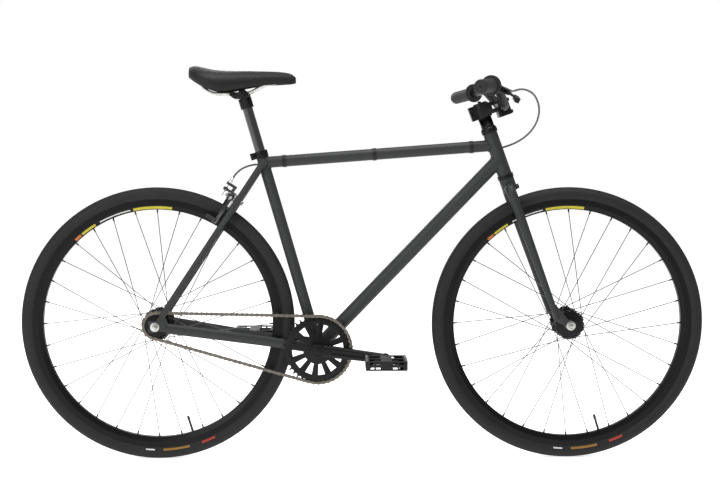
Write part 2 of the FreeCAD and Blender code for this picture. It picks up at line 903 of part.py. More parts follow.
def saddle_section(shares):
    """One closed section of the cover: drawn-in sides and a crowned top."""
    along, half_share, crown_share, shoulder_share, skirt_share = shares
    x = saddle_tail_x + saddle_length * along
    half = saddle_width * half_share
    skirt = saddle_top_z - saddle_depth * skirt_share
    crown = saddle_top_z + saddle_depth * crown_share
    shoulder = saddle_top_z - saddle_depth * shoulder_share
    low_left = Vector(x, half * saddle_skirt_width_share, skirt)
    high_left = Vector(x, half * saddle_shoulder_width_share, shoulder)
    side_left = Vector(x, half, (skirt + shoulder) / 2)
    low_right = Vector(x, -low_left.y, skirt)
    high_right = Vector(x, -high_left.y, shoulder)
    side_right = Vector(x, -half, side_left.z)
    edges = [
        Part.Arc(low_left, side_left, high_left).toShape(),
        Part.Arc(high_left, Vector(x, 0, crown), high_right).toShape(),
        Part.Arc(high_right, side_right, low_right).toShape(),
        Part.LineSegment(low_right, low_left).toShape(),
    ]
    return Part.Wire(edges)


def saddle_slab(width_share, low_rise, high_rise):
    """A slab that follows the cover's lower edge, between two rises above it."""
    sections = []
    for along, half_share, crown_share, shoulder_share, skirt_share in saddle_section_shares[1:-1]:
        x = saddle_tail_x + saddle_length * along
        half = saddle_width * half_share * width_share
        low = skirt_height(along) + low_rise
        high = skirt_height(along) + high_rise
        points = [Vector(x, -half, low), Vector(x, -half, high), Vector(x, half, high), Vector(x, half, low)]
        sections.append(Part.makePolygon(points + [points[0]]))
    return Part.makeLoft(sections, True, True)


def make_saddle_cover():
    cover = Part.makeLoft([saddle_section(shares) for shares in saddle_section_shares], True, True)
    return cover.cut(saddle_slab(saddle_cavity_width_share, -overrun, saddle_cavity_depth))


def make_saddle_base():
    high = saddle_cavity_depth - touch_gap
    return saddle_slab(saddle_base_width_share, high - saddle_base_thickness, high).cut(saddle_rails)


# Fork

def make_fork_steerer():
    steerer_bore = steerer_diameter - 2 * steerer_wall
    tube = pipe(on_steerer(crown_low), on_steerer(stem_high), steerer_diameter, steerer_bore)
    crown = pipe(on_steerer(crown_low), on_steerer(crown_high), crown_diameter, steerer_diameter)
    plug_start = on_steerer(crown_low + crown_plug_rise, crown_diameter / 2)
    plug_root = on_steerer(crown_low + crown_plug_rise, steerer_diameter / 2)
    plug = rod(plug_root, plug_start + steer_forward * crown_plug_length, crown_plug_diameter)
    return tube.fuse(crown).fuse(plug).removeSplitter()


def left_fork_dropout():
    start = across * (front_dropout_spacing / 2)
    depth = across * fork_dropout_thickness
    half = blade_low_diameter / 2
    inset = blade_low_diameter * fork_dropout_inset_share
    outline = [
        on_steerer(blade_low_height - half, inset - blade_setback - half),
        on_steerer(fork_dropout_top_height, inset - blade_setback - half),
        on_steerer(fork_dropout_top_height, half - blade_setback),
        on_steerer(fork_dropout_radius, fork_offset),
        on_steerer(-fork_dropout_radius, fork_offset),
    ]
    plate = prism([point + start for point in outline], depth)
    plate = plate.fuse(rod(front_axle + start, front_axle + start + depth, 2 * fork_dropout_radius))
    slot_half = front_axle_diameter / 2 + axle_slot_clearance
    slot_low = -fork_dropout_radius - overrun
    slot = [
        on_steerer(0, fork_offset - slot_half),
        on_steerer(0, fork_offset + slot_half),
        on_steerer(slot_low, fork_offset + slot_half),
        on_steerer(slot_low, fork_offset - slot_half),
    ]
    plate = plate.cut(prism([point + start for point in slot], depth))
    plate = plate.cut(rod(front_axle + start, front_axle + start + depth, 2 * slot_half))
    return plate.removeSplitter()


fork_dropout = left_fork_dropout()


def left_fork_blade():
    low = on_steerer(blade_low_height, -blade_setback, blade_low_y)
    high = on_steerer(blade_elbow_height, -blade_setback, blade_top_y)
    blade = taper(low, high, blade_low_diameter, blade_top_diameter)
    run = (high - low).normalize()
    inward = (steer_forward.cross(run)).normalize()
    if inward.y > 0:
        inward = inward * -1
    turn_centre = high + inward * blade_elbow_radius
    circle = Part.Face(Part.Wire(Part.makeCircle(blade_top_diameter / 2, high, run)))
    turn_axis = run.cross(inward)
    elbow = circle.revolve(turn_centre, turn_axis, 90)
    elbow_end = turn_centre + run * blade_elbow_radius
    bridge = rod(elbow_end, elbow_end + inward * (elbow_end.y + overrun), blade_top_diameter)
    crown_core = rod(on_steerer(crown_low), on_steerer(crown_high), crown_diameter)
    blade = blade.fuse(elbow).fuse(bridge)
    keep = Part.makeBox(wheelbase, wheelbase, wheelbase, Vector(0, 0, 0))
    return blade.common(keep).cut(crown_core).cut(fork_dropout).removeSplitter()


# Stem

bar_centre = on_steerer(stem_bar_height, stem_reach)


def stem_box(low, high, rear, front, width):
    half = width / 2
    corners = [on_steerer(low, rear, -half), on_steerer(low, front, -half)]
    corners += [on_steerer(high, front, -half), on_steerer(high, rear, -half)]
    return prism(corners, across * width)


def bar_core(diameter):
    half = across * stem_width
    return rod(bar_centre - half, bar_centre + half, diameter)


def stem_face_bolt(height_sign, side_sign, diameter, rear, front):
    height = stem_bar_height + height_sign * stem_bolt_spread_h / 2
    side = side_sign * stem_bolt_spread_y / 2
    return rod(on_steerer(height, rear, side), on_steerer(height, front, side), diameter)


def stem_pinch_bolt(height_sign, diameter, first, last):
    height = stem_base + stem_height / 2 + height_sign * stem_pinch_spread / 2
    start = on_steerer(height, -stem_pinch_reach, first)
    return rod(start, on_steerer(height, -stem_pinch_reach, last), diameter)


plate_front = stem_reach + stem_plate_depth
stem_split_rear = stem_reach - stem_split / 2
stem_split_front = stem_reach + stem_split / 2
face_bolt_signs = ((-1, -1), (-1, 1), (1, -1), (1, 1))


def stem_bolt_shanks():
    shanks = []
    for height_sign, side_sign in face_bolt_signs:
        rear = plate_front - stem_bolt_length
        shanks.append(stem_face_bolt(height_sign, side_sign, stem_bolt_diameter, rear, plate_front))
    half = stem_ear_width / 2
    for height_sign in (-1, 1):
        shanks.append(stem_pinch_bolt(height_sign, stem_bolt_diameter, -half, half))
    return shanks


def make_stem_body():
    middle = stem_base + stem_height / 2
    clamp = rod(on_steerer(stem_base), on_steerer(stem_high), stem_clamp_diameter)
    ear = stem_box(stem_base, stem_high, -stem_ear_reach, 0, stem_ear_width)
    neck_low = middle - stem_neck_height / 2
    neck_high = middle + stem_neck_height / 2
    neck = stem_box(neck_low, neck_high, 0, stem_split_rear - stem_front_depth, stem_neck_width)
    front_low = stem_bar_height - stem_front_height / 2
    front_high = stem_bar_height + stem_front_height / 2
    front = stem_box(front_low, front_high, stem_split_rear - stem_front_depth, stem_split_rear, stem_width)
    body = clamp.fuse(ear).fuse(neck).fuse(front).removeSplitter()
    window_low = middle - stem_window_height / 2
    window_high = middle + stem_window_height / 2
    window_front = stem_split_rear - stem_front_depth + stem_window_gap
    window_rear = window_front - stem_window_length
    body = body.cut(stem_box(window_low, window_high, window_rear, window_front, stem_width + overrun))
    slit_low = stem_base - overrun
    slit_high = stem_high + overrun
    body = body.cut(stem_box(slit_low, slit_high, -stem_ear_reach - overrun, 0, stem_slit))
    body = body.cut(rod(on_steerer(slit_low), on_steerer(slit_high), steerer_diameter))
    return body.cut(bar_core(bar_diameter)).cut(Part.makeCompound(stem_bolt_shanks()))


def make_stem_faceplate():
    low = stem_bar_height - stem_front_height / 2
    high = stem_bar_height + stem_front_height / 2
    plate = stem_box(low, high, stem_split_front, plate_front, stem_width)
    middle_low = stem_bar_height - stem_bolt_spread_h / 2 + stem_bolt_head_diameter / 2
    middle_high = stem_bar_height + stem_bolt_spread_h / 2 - stem_bolt_head_diameter / 2
    relief_front = plate_front + overrun
    relief_rear = stem_reach + bar_diameter / 2 + touch_gap
    relief_width = stem_bolt_spread_y - 2 * stem_bolt_head_diameter
    plate = plate.cut(stem_box(middle_low, middle_high, relief_rear, relief_front, relief_width))
    return plate.cut(bar_core(bar_diameter)).cut(Part.makeCompound(stem_bolt_shanks()))


def make_stem_bolts():
    shanks = stem_bolt_shanks()
    bolts = []
    head_front = plate_front + stem_bolt_head_length
    for shank, signs in zip(shanks, face_bolt_signs):
        head = stem_face_bolt(signs[0], signs[1], stem_bolt_head_diameter, plate_front, head_front)
        bolts.append(shank.fuse(head).removeSplitter())
    half = stem_ear_width / 2
    for shank, height_sign in zip(shanks[len(face_bolt_signs):], (-1, 1)):
        near = stem_pinch_bolt(height_sign, stem_bolt_head_diameter, -half - stem_bolt_head_length, -half)
        bolts.append(shank.fuse(near).removeSplitter())
    cap_high = on_steerer(stem_high + stem_cap_height)
    cap = rod(on_steerer(stem_high), cap_high, stem_cap_diameter)
    cap_bolt = rod(cap_high, cap_high + steer_up * stem_bolt_head_length, stem_bolt_head_diameter)
    bolts.append(cap.fuse(cap_bolt).removeSplitter())
    return Part.makeCompound(bolts)


# Handlebar, grips and brake lever

def bar_point(forward, side, rise):
    return bar_centre + Vector(forward, side, rise)


bar_end_left = bar_point(bar_end_forward, bar_end_y, bar_end_rise)
bar_shoulder_left = bar_point(bar_shoulder_forward, bar_shoulder_y, bar_shoulder_rise)
bar_end_right = bar_point(bar_end_forward, -bar_end_y, bar_end_rise)
bar_shoulder_right = bar_point(bar_shoulder_forward, -bar_shoulder_y, bar_shoulder_rise)
grip_out = (bar_end_right - bar_shoulder_right).normalize()


def make_handlebar():
    points = [
        bar_end_right,
        bar_shoulder_right,
        bar_point(bar_bend_forward, -bar_bend_y, bar_bend_rise),
        bar_point(bar_bend_forward, bar_bend_y, bar_bend_rise),
        bar_shoulder_left,
        bar_end_left,
    ]
    outer = swept(points, bar_diameter, bar_bend_share)
    return outer.cut(swept(points, bar_diameter - 2 * bar_wall, bar_bend_share))


def right_grip():
    outer_end = bar_end_right + grip_out * grip_end_thickness
    inner_end = outer_end - grip_out * grip_length
    flange = rod(inner_end, inner_end + grip_out * grip_flange_thickness, grip_flange_diameter)
    body = rod(inner_end, outer_end, grip_diameter)
    return body.fuse(flange).removeSplitter().cut(rod(inner_end, bar_end_right, bar_diameter))


lever_centre = bar_end_right + grip_out * (grip_end_thickness - grip_length - lever_from_grip)
lever_slope = math.radians(lever_drop_angle)
lever_forward = Vector(math.cos(lever_slope), 0, math.sin(lever_slope))
lever_forward = (lever_forward - grip_out * lever_forward.dot(grip_out)).normalize()
lever_normal = grip_out.cross(lever_forward).normalize()


def on_lever(out, reach, lift=0):
    return lever_centre + grip_out * out + lever_forward * reach + lever_normal * lift


def lever_slab(outline, thickness):
    low = -thickness / 2
    return prism([on_lever(out, reach, low) for out, reach in outline], lever_normal * thickness)


lever_pin_half = lever_perch_thickness / 2


def lever_pin(diameter, half):
    return rod(on_lever(0, lever_pin_reach, -half), on_lever(0, lever_pin_reach, half), diameter)


def make_lever_bracket():
    half = lever_clamp_width / 2
    band = rod(on_lever(-half, 0), on_lever(half, 0), lever_clamp_diameter)
    root = bar_diameter / 2
    outline = [(-half, root), (half, root), (lever_perch_outboard, lever_perch_reach)]
    outline += [(-lever_perch_inboard, lever_perch_reach)]
    outline += [(-lever_perch_inboard, lever_pin_reach - lever_eye_radius)]
    perch = band.fuse(lever_slab(outline, lever_perch_thickness))
    slot_far = lever_perch_outboard + lever_perch_inboard
    slot_low = lever_pin_reach - lever_eye_radius - touch_gap
    slot_high = lever_perch_reach + overrun
    slot_near = -lever_eye_radius - touch_gap
    slot = [(slot_near, slot_low), (slot_far, slot_low), (slot_far, slot_high), (slot_near, slot_high)]
    perch = perch.cut(lever_slab(slot, lever_blade_thickness + 2 * touch_gap))
    perch = perch.cut(rod(on_lever(-half - overrun, 0), on_lever(half + overrun, 0), bar_diameter))
    return perch.fuse(lever_pin(lever_pin_diameter, lever_pin_half)).removeSplitter()


def make_brake_lever():
    half_width = lever_blade_width / 2
    eye = lever_pin(2 * lever_eye_radius, lever_blade_thickness / 2)
    outline = [
        (0, lever_pin_reach - lever_eye_radius),
        (lever_eye_radius, lever_pin_reach),
        (lever_knee_out, lever_knee_reach - half_width),
        (lever_tip_out, lever_tip_reach - half_width),
        (lever_tip_out, lever_tip_reach + half_width),
        (lever_knee_out, lever_knee_reach + half_width),
        (-lever_eye_radius, lever_pin_reach),
    ]
    blade = eye.fuse(lever_slab(outline, lever_blade_thickness))
    pad_outline = outline[2:6]
    blade = blade.fuse(lever_slab(pad_outline, lever_blade_width))
    blade = blade.fuse(rod(on_lever(lever_tip_out, lever_tip_reach, -half_width),
                           on_lever(lever_tip_out, lever_tip_reach, half_width), lever_blade_width))
    hole = lever_pin(lever_pin_diameter + 2 * slide_clearance, lever_pin_half)
    return blade.cut(hole).removeSplitter()


adjuster_root = on_lever(-lever_perch_inboard, lever_adjuster_reach)
adjuster_end = on_lever(-lever_perch_inboard - lever_adjuster_length, lever_adjuster_reach)
adjuster_lead = adjuster_end - grip_out * housing_lead


def make_lever_adjuster():
    body = rod(adjuster_root, adjuster_end, lever_adjuster_diameter)
    half = lever_adjuster_length / 2
    knurl_start = on_lever(-lever_perch_inboard, lever_adjuster_reach)
    knurl_end = on_lever(-lever_perch_inboard - half, lever_adjuster_reach)
    return body.fuse(rod(knurl_start, knurl_end, lever_adjuster_diameter * math.sqrt(2))).removeSplitter()


# Rear caliper brake

caliper_first = brake_bridge_diameter / 2 + caliper_spacer_length + caliper_arm_gap
caliper_second = caliper_first + caliper_arm_thickness + caliper_arm_gap
caliper_nut_start = caliper_second + caliper_arm_thickness + caliper_arm_gap
pad_inner_y = rim_width / 2 + pad_gap_to_rim
pad_outer_y = pad_inner_y + pad_thickness
pad_back = caliper_second
pad_tilt = math.degrees(math.asin(pad_back / pad_from_axle))
pad_angle = math.degrees(math.atan2(seat_stay_run.z, seat_stay_run.x)) + pad_tilt


def caliper_prism(outline, back, thickness):
    return prism([on_caliper(up, side, back) for side, up in outline], caliper_back * thickness)


def caliper_eye(back):
    far = on_caliper(0, 0, back + caliper_arm_thickness)
    return rod(on_caliper(0, 0, back), far, 2 * caliper_eye_radius)


def lug_outline(height):
    """A finger from the pivot to the cable side."""
    reach = caliper_barrel_y + caliper_lug_half_width
    half = caliper_lug_thickness / 2
    root = caliper_eye_radius * caliper_lug_root_share
    return [(0, -root), (0, root), (reach, height + half), (reach, height - half)]


def caliper_arm(side, back, lug_height):
    """One arm: an eye on the pivot bolt, a curved limb to the pad and a cable finger with its boss."""
    drop = brake_bridge_from_axle - pad_from_axle
    limb = [(side * caliper_half_span * out, drop * up) for out, up in arm_outline_shares]
    arm = caliper_eye(back).fuse(caliper_prism(limb, back, caliper_arm_thickness))
    arm = arm.fuse(caliper_prism(lug_outline(lug_height), back, caliper_arm_thickness))
    boss_depth = caliper_barrel_back + caliper_lug_thickness - back
    half = caliper_lug_thickness / 2
    boss_inner = caliper_barrel_y - caliper_lug_half_width
    boss_outer = caliper_barrel_y + caliper_lug_half_width
    boss = [(boss_inner, lug_height - half), (boss_outer, lug_height - half)]
    boss += [(boss_outer, lug_height + half), (boss_inner, lug_height + half)]
    arm = arm.fuse(caliper_prism(boss, back, boss_depth)).fuse(pad_eye(side))
    bolt_reach = caliper_bolt_diameter + 2 * slide_clearance
    return arm.cut(rod(on_caliper(0, 0, 0), on_caliper(0, 0, caliper_nut_start + overrun), bolt_reach))


def pad_centre(y):
    return around(rear_axle, pad_from_axle, pad_angle, y)


def pad_post(side, diameter):
    post_end = pad_centre(side * (pad_outer_y + 2 * pad_thickness))
    return rod(pad_centre(side * pad_outer_y), post_end, diameter)


def pad_eye(side):
    first = pad_centre(side * (pad_outer_y + pad_thickness / 2))
    return rod(first, pad_centre(side * caliper_half_span), pad_eye_diameter)


def brake_pad(side):
    """A rubber block beside the rim in its shoe, with a post through the arm."""
    radial = (pad_centre(0) - rear_axle).normalize()
    along = radial.cross(across)
    half_length = along * (pad_length / 2)
    half_height = radial * (pad_height / 2)
    inner = pad_centre(side * pad_inner_y)
    corners = [inner - half_length - half_height, inner + half_length - half_height]
    corners += [inner + half_length + half_height, inner - half_length + half_height]
    block = prism(corners, across * (side * pad_thickness))
    return block.fuse(pad_post(side, pad_post_diameter)).removeSplitter()


barrel_low = caliper_barrel_height - caliper_lug_thickness / 2
barrel_high = barrel_low + caliper_barrel_length


def barrel_rod(low, high, diameter):
    first = on_caliper(low, caliper_barrel_y, caliper_barrel_back)
    return rod(first, on_caliper(high, caliper_barrel_y, caliper_barrel_back), diameter)


def make_left_brake_arm():
    arm = caliper_arm(1, caliper_second, caliper_barrel_height)
    arm = arm.cut(barrel_rod(barrel_low - overrun, barrel_high, caliper_barrel_diameter))
    return arm.cut(pad_post(1, pad_post_diameter)).removeSplitter()


def make_right_brake_arm():
    """The arm with the cable anchor and the bare wire that it pulls."""
    half = caliper_anchor_length / 2
    anchor = barrel_rod(caliper_anchor_height - half, caliper_anchor_height + half, caliper_anchor_diameter)
    arm = caliper_arm(-1, caliper_first, caliper_anchor_height).cut(anchor)
    arm = arm.cut(pad_post(-1, pad_post_diameter)).removeSplitter()
    wire_low = caliper_anchor_height - 2 * caliper_anchor_length
    wire_high = barrel_low + caliper_lug_thickness / 2
    wire = anchor.fuse(barrel_rod(wire_low, wire_high, inner_wire_diameter)).removeSplitter()
    return Part.makeCompound([arm, wire])


def make_brake_barrel():
    high = barrel_high
    body = barrel_rod(barrel_low, high, caliper_barrel_diameter)
    knurl_low = caliper_barrel_height + caliper_lug_thickness / 2
    knurl = barrel_rod(knurl_low, knurl_low + caliper_lug_thickness, caliper_barrel_diameter * math.sqrt(2))
    return body.fuse(knurl).cut(barrel_rod(barrel_low, high, caliper_barrel_bore)).removeSplitter()


def make_brake_pivot():
    """The pivot bolt with its spacer and nuts, and the return spring that rests on the spacer."""
    shank_start = -brake_bridge_diameter / 2 - caliper_nut_thickness
    shank_end = caliper_nut_start + caliper_nut_thickness
    bolt = rod(on_caliper(0, 0, shank_start), on_caliper(0, 0, shank_end), caliper_bolt_diameter)
    bridge_face = brake_bridge_diameter / 2
    spacer_end = on_caliper(0, 0, bridge_face + caliper_spacer_length)
    spacer = rod(on_caliper(0, 0, bridge_face), spacer_end, caliper_spacer_diameter)
    nut = caliper_back * caliper_nut_thickness
    flats = caliper_nut_across_flats
    rear_nut = hexagon(on_caliper(0, 0, caliper_nut_start), nut, flats, caliper_bolt_diameter)
    front_nut = hexagon(on_caliper(0, 0, shank_start), nut, flats, caliper_bolt_diameter)
    bolt = bolt.fuse(spacer).fuse(rear_nut).fuse(front_nut).removeSplitter()
    half = brake_spring_half_width
    back = bridge_face + caliper_spacer_length / 2
    top = (caliper_spacer_diameter + brake_spring_diameter) / 2 + slide_clearance
    points = [
        on_caliper(-brake_spring_drop, -half, back),
        on_caliper(top, -half, back),
        on_caliper(top, half, back),
        on_caliper(-brake_spring_drop, half, back),
    ]
    return Part.makeCompound([bolt, swept(points, brake_spring_diameter, brake_spring_bend_share)])


# Brake housing along the top tube

housing_turn = math.radians(housing_side_angle)
housing_offset = top_tube_diameter / 2 + housing_diameter / 2 + housing_tube_gap
top_tube_way = Vector(top_tube_run).normalize()
top_tube_lift = top_tube_way.cross(across)
housing_shift = (across * math.cos(housing_turn) + top_tube_lift * math.sin(housing_turn)) * housing_offset


def beside_top_tube(share):
    return top_tube_rear + top_tube_run * share + housing_shift


first_clip = beside_top_tube(clip_places_share[-1])
last_clip = beside_top_tube(clip_places_share[0])
clip_half = top_tube_way * (clip_width / 2)


def make_front_housing():
    points = [adjuster_end, adjuster_lead] + [bar_point(*place) for place in front_route]
    points += [first_clip + clip_half + top_tube_way * clip_lead, first_clip + clip_half]
    wire, radii = route_wire(points, route_bend_share)
    print("front housing bend radii", [round(radius) for radius in radii])
    return swept(points, housing_diameter, route_bend_share)


def make_rear_housing():
    barrel_mouth = on_caliper(barrel_high + touch_gap, caliper_barrel_y, caliper_barrel_back)
    ahead = on_caliper(barrel_high + caliper_barrel_length, caliper_barrel_y, caliper_barrel_back)
    points = [first_clip + clip_half, last_clip - clip_half - top_tube_way * clip_lead]
    points += [top_tube_rear + Vector(*place) for place in rear_route] + [ahead, barrel_mouth]
    wire, radii = route_wire(points, route_bend_share)
    print("rear housing bend radii", [round(radius) for radius in radii])
    return swept(points, housing_diameter, route_bend_share)


def make_cable_clips():
    clips = []
    for share in clip_places_share:
        middle = top_tube_rear + top_tube_run * share
        low = middle - clip_half
        high = middle + clip_half
        band = rod(low, high, top_tube_diameter + 2 * clip_wall)
        loop = rod(low + housing_shift, high + housing_shift, housing_diameter + 2 * clip_wall)
        clip = band.fuse(loop).cut(rod(low, high, top_tube_diameter + 2 * touch_gap))
        bore = housing_diameter + 2 * slide_clearance
        clip = clip.cut(rod(low + housing_shift, high + housing_shift, bore))
        clips.append(clip.removeSplitter())
    return Part.makeCompound(clips)


# Wheels

tube_section_radius = tyre_width / 2
tyre_section_centre = axle_height - tube_section_radius


def arc_point(section_radius, height):
    """Half width of the round tyre section at a radius from the axle."""
    return math.sqrt(section_radius**2 - (height - tyre_section_centre)**2)


def make_tyre(centre):
    """A round casing with a neck that passes between the rim flanges to two beads."""
    ledge = rim_top + touch_gap
    neck_y = rim_channel / 2 - touch_gap
    inner_radius = tube_section_radius - tyre_wall
    outer_start = rim_top + 2 * touch_gap
    inner_start = outer_start + touch_gap

    def point(radius, side):
        return centre + Vector(radius, side, 0)

    outer_y = arc_point(tube_section_radius, outer_start)
    inner_y = arc_point(inner_radius, inner_start)
    waist = tyre_section_centre
    crown = tyre_section_centre + tube_section_radius
    inner_crown = tyre_section_centre + inner_radius
    bead = bead_radius + touch_gap
    neck_inner_y = neck_y - tyre_neck
    edges = [
        Part.LineSegment(point(bead, -neck_y), point(ledge, -neck_y)),
        Part.LineSegment(point(ledge, -neck_y), point(outer_start, -outer_y)),
        Part.Arc(point(outer_start, -outer_y), point(waist, -tube_section_radius), point(crown, 0)),
        Part.Arc(point(crown, 0), point(waist, tube_section_radius), point(outer_start, outer_y)),
        Part.LineSegment(point(outer_start, outer_y), point(ledge, neck_y)),
        Part.LineSegment(point(ledge, neck_y), point(bead, neck_y)),
        Part.LineSegment(point(bead, neck_y), point(bead, neck_inner_y)),
        Part.LineSegment(point(bead, neck_inner_y), point(inner_start, neck_inner_y)),
        Part.LineSegment(point(inner_start, neck_inner_y), point(inner_start, inner_y)),
        Part.Arc(point(inner_start, inner_y), point(waist, inner_radius), point(inner_crown, 0)),
        Part.Arc(point(inner_crown, 0), point(waist, -inner_radius), point(inner_start, -inner_y)),
        Part.LineSegment(point(inner_start, -inner_y), point(inner_start, -neck_inner_y)),
        Part.LineSegment(point(inner_start, -neck_inner_y), point(bead, -neck_inner_y)),
        Part.LineSegment(point(bead, -neck_inner_y), point(bead, -neck_y)),
    ]
    wire = Part.Wire([edge.toShape() for edge in edges])
    return Part.Face(wire).revolve(centre, across, full_turn)


def make_inner_tube(centre):
    """An inflated tube with its valve through the rim."""
    floor = rim_top + 3 * touch_gap
    crown = axle_height - tyre_wall
    outer = (crown - floor) / 2 - touch_gap
    middle = (crown + floor) / 2
    tube = Part.makeTorus(middle, outer, centre, across)
    root = middle - outer + inner_tube_wall
    tip = root - valve_length
    stem = rod(around(centre, tip, valve_angle), around(centre, root, valve_angle), valve_diameter)
    cap = taper(around(centre, tip - valve_cap_length, valve_angle), around(centre, tip, valve_angle),
                valve_diameter, valve_cap_diameter)
    air = Part.makeTorus(middle, outer - inner_tube_wall, centre, across)
    return tube.fuse(stem).fuse(cap).cut(air).removeSplitter()


def lacing(centre, flange_spacing):
    """Each spoke's flange hole, elbow, rim point and direction, in pairs on the two flanges."""
    per_flange = spoke_count // 2
    step = full_turn / per_flange
    cross = step * spoke_crossings
    flange_y = flange_spacing / 2
    spokes = []
    for side in (-1, 1):
        shift = first_spoke_angle + (step / 2 if side > 0 else 0)
        for index in range(per_flange):
            lean = 1 if index % 2 else -1
            hole_angle = shift + step * index
            rim_angle = hole_angle + lean * cross
            hole = around(centre, spoke_circle / 2, hole_angle, side * flange_y)
            face = lean * side
            lift = flange_thickness / 2 + spoke_diameter / 2 + spoke_hole_clearance
            elbow = hole + across * (face * lift)
            seat = around(centre, rim_nose, rim_angle, side * spoke_stagger)
            way = (seat - elbow).normalize()
            spokes.append((hole, elbow, seat, way, face))
    return spokes


def make_spokes(spokes):
    shapes = []
    for hole, elbow, seat, way, face in spokes:
        end = seat - way * (nipple_length - rim_wall - nipple_seat - spoke_in_nipple)
        head_start = hole - across * (face * (flange_thickness / 2 + spoke_hole_clearance))
        head_end = head_start - across * (face * spoke_head_length)
        spoke = swept([head_start, elbow, end], spoke_diameter, spoke_bend_share)
        shapes.append(spoke.fuse(rod(head_start, head_end, spoke_head_diameter)).removeSplitter())
    return Part.makeCompound(shapes)


def make_nipples(spokes):
    """Each nipple's shank passes the rim's inner wall, and its head sits inside."""
    shapes = []
    for hole, elbow, seat, way, face in spokes:
        head_start = seat + way * (rim_wall + nipple_seat)
        tail = head_start - way * nipple_length
        nipple = rod(tail, head_start, nipple_diameter)
        nipple = nipple.fuse(rod(head_start, head_start + way * nipple_head_length, nipple_head_diameter))
        shapes.append(nipple.cut(rod(tail, tail + way * spoke_in_nipple, spoke_diameter)).removeSplitter())
    return Part.makeCompound(shapes)


def make_rim(centre, spokes):
    half = rim_width / 2
    channel = rim_channel / 2
    well = rim_well_width / 2
    nose = rim_nose_width / 2
    track_end = rim_top - brake_track
    well_floor = bead_radius - rim_well_depth
    side = [
        (rim_nose, nose),
        (track_end, half),
        (rim_top, half),
        (rim_top, channel),
        (bead_radius, channel),
        (well_floor, well),
    ]
    rim = spun(centre, side + [(radius, -y) for radius, y in reversed(side)])
    chamber_top = well_floor - rim_wall
    chamber = [
        (rim_nose + rim_wall, nose - rim_wall / 2),
        (track_end, half - rim_wall),
        (chamber_top, half - rim_wall),
    ]
    rim = rim.cut(spun(centre, chamber + [(radius, -y) for radius, y in reversed(chamber)]))
    holes = []
    for hole, elbow, seat, way, face in spokes:
        end = seat + way * (2 * rim_wall)
        holes.append(rod(seat - way * rim_wall, end, nipple_diameter + 2 * spoke_hole_clearance))
    valve_hole = valve_diameter + 2 * valve_hole_clearance
    valve_mouth = around(centre, rim_nose - overrun, valve_angle)
    holes.append(rod(valve_mouth, around(centre, rim_top, valve_angle), valve_hole))
    return rim.cut(Part.makeCompound(holes))


def make_hub(centre, spokes, flange_spacing, hub_width, carrier):
    """A high-flange shell with a bearing bore, spoke holes and a scalloped flange edge."""
    flange = flange_diameter / 2
    barrel = hub_barrel_diameter / 2
    end = hub_end_diameter / 2
    outer = flange_spacing / 2 + flange_thickness / 2
    inner = flange_spacing / 2 - flange_thickness / 2
    bore = hub_bearing_diameter / 2 + slide_clearance
    fillet = inner - flange_thickness
    side = [
        (bore, hub_width / 2),
        (end, hub_width / 2),
        (end, outer),
        (flange - flange_bevel_width, outer),
        (flange, outer - flange_bevel_depth),
        (flange, inner),
        (barrel + flange_thickness, inner),
        (barrel, fillet),
    ]
    hub = spun(centre, side + [(radius, -y) for radius, y in reversed(side)])
    if carrier:
        carrier_start = centre - across * outer
        hub = hub.fuse(pipe(centre - across * carrier, carrier_start, cog_carrier_diameter, 2 * bore))
    cuts = []
    for hole, elbow, seat, way, face in spokes:
        half = across * flange_thickness
        cuts.append(rod(hole - half, hole + half, spoke_diameter + 2 * spoke_hole_clearance))
    notch = flange + scallop_diameter / 2 - scallop_depth
    per_flange = spoke_count // 2
    for side_sign in (-1, 1):
        shift = first_spoke_angle + (180 / per_flange if side_sign < 0 else 0)
        for index in range(per_flange):
            turn = shift + full_turn * index / per_flange
            place = around(centre, notch, turn, side_sign * flange_spacing / 2)
            half = across * flange_thickness
            cuts.append(rod(place - half, place + half, scallop_diameter))
    return hub.cut(Part.makeCompound(cuts)).removeSplitter()


def make_axle(centre, diameter, spacing, plate, hub_width):
    """The fixed axle with its bearings, spacers, washers and nuts, as separate solids."""
    reach = spacing / 2 + plate + washer_thickness + nut_thickness + axle_thread_beyond_nut
    pieces = [rod(centre - across * reach, centre + across * reach, diameter)]
    for side in (-1, 1):
        out = across * side
        bearing_end = centre + out * (hub_width / 2 - hub_bearing_inset)
        bearing_start = bearing_end - out * hub_bearing_width
        pieces.append(pipe(bearing_start, bearing_end, hub_bearing_diameter, diameter))
        spacer_end = centre + out * (spacing / 2)
        pieces.append(pipe(bearing_end, spacer_end, axle_spacer_diameter, diameter))
        washer_start = spacer_end + out * plate
        washer_end = washer_start + out * washer_thickness
        pieces.append(pipe(washer_start, washer_end, washer_diameter, diameter))
        pieces.append(hexagon(washer_end, out * nut_thickness, nut_across_flats, diameter))
    return Part.makeCompound(pieces)


# Chain, sprockets, cranks and pedals

def pitch_radius(teeth):
    return chain_pitch / (2 * math.sin(math.pi / teeth))


cog_radius = pitch_radius(cog_teeth)
ring_radius = pitch_radius(chainring_teeth)
drive_angle = math.degrees(math.atan2(bracket.z - rear_axle.z, bracket.x - rear_axle.x))
belt_angle = math.degrees(math.asin((ring_radius - cog_radius) / chain_stay_length))
ring_start = drive_angle - 90 - belt_angle
cog_start = drive_angle + 90 + belt_angle
ring_step = full_turn / chainring_teeth
cog_step = full_turn / cog_teeth


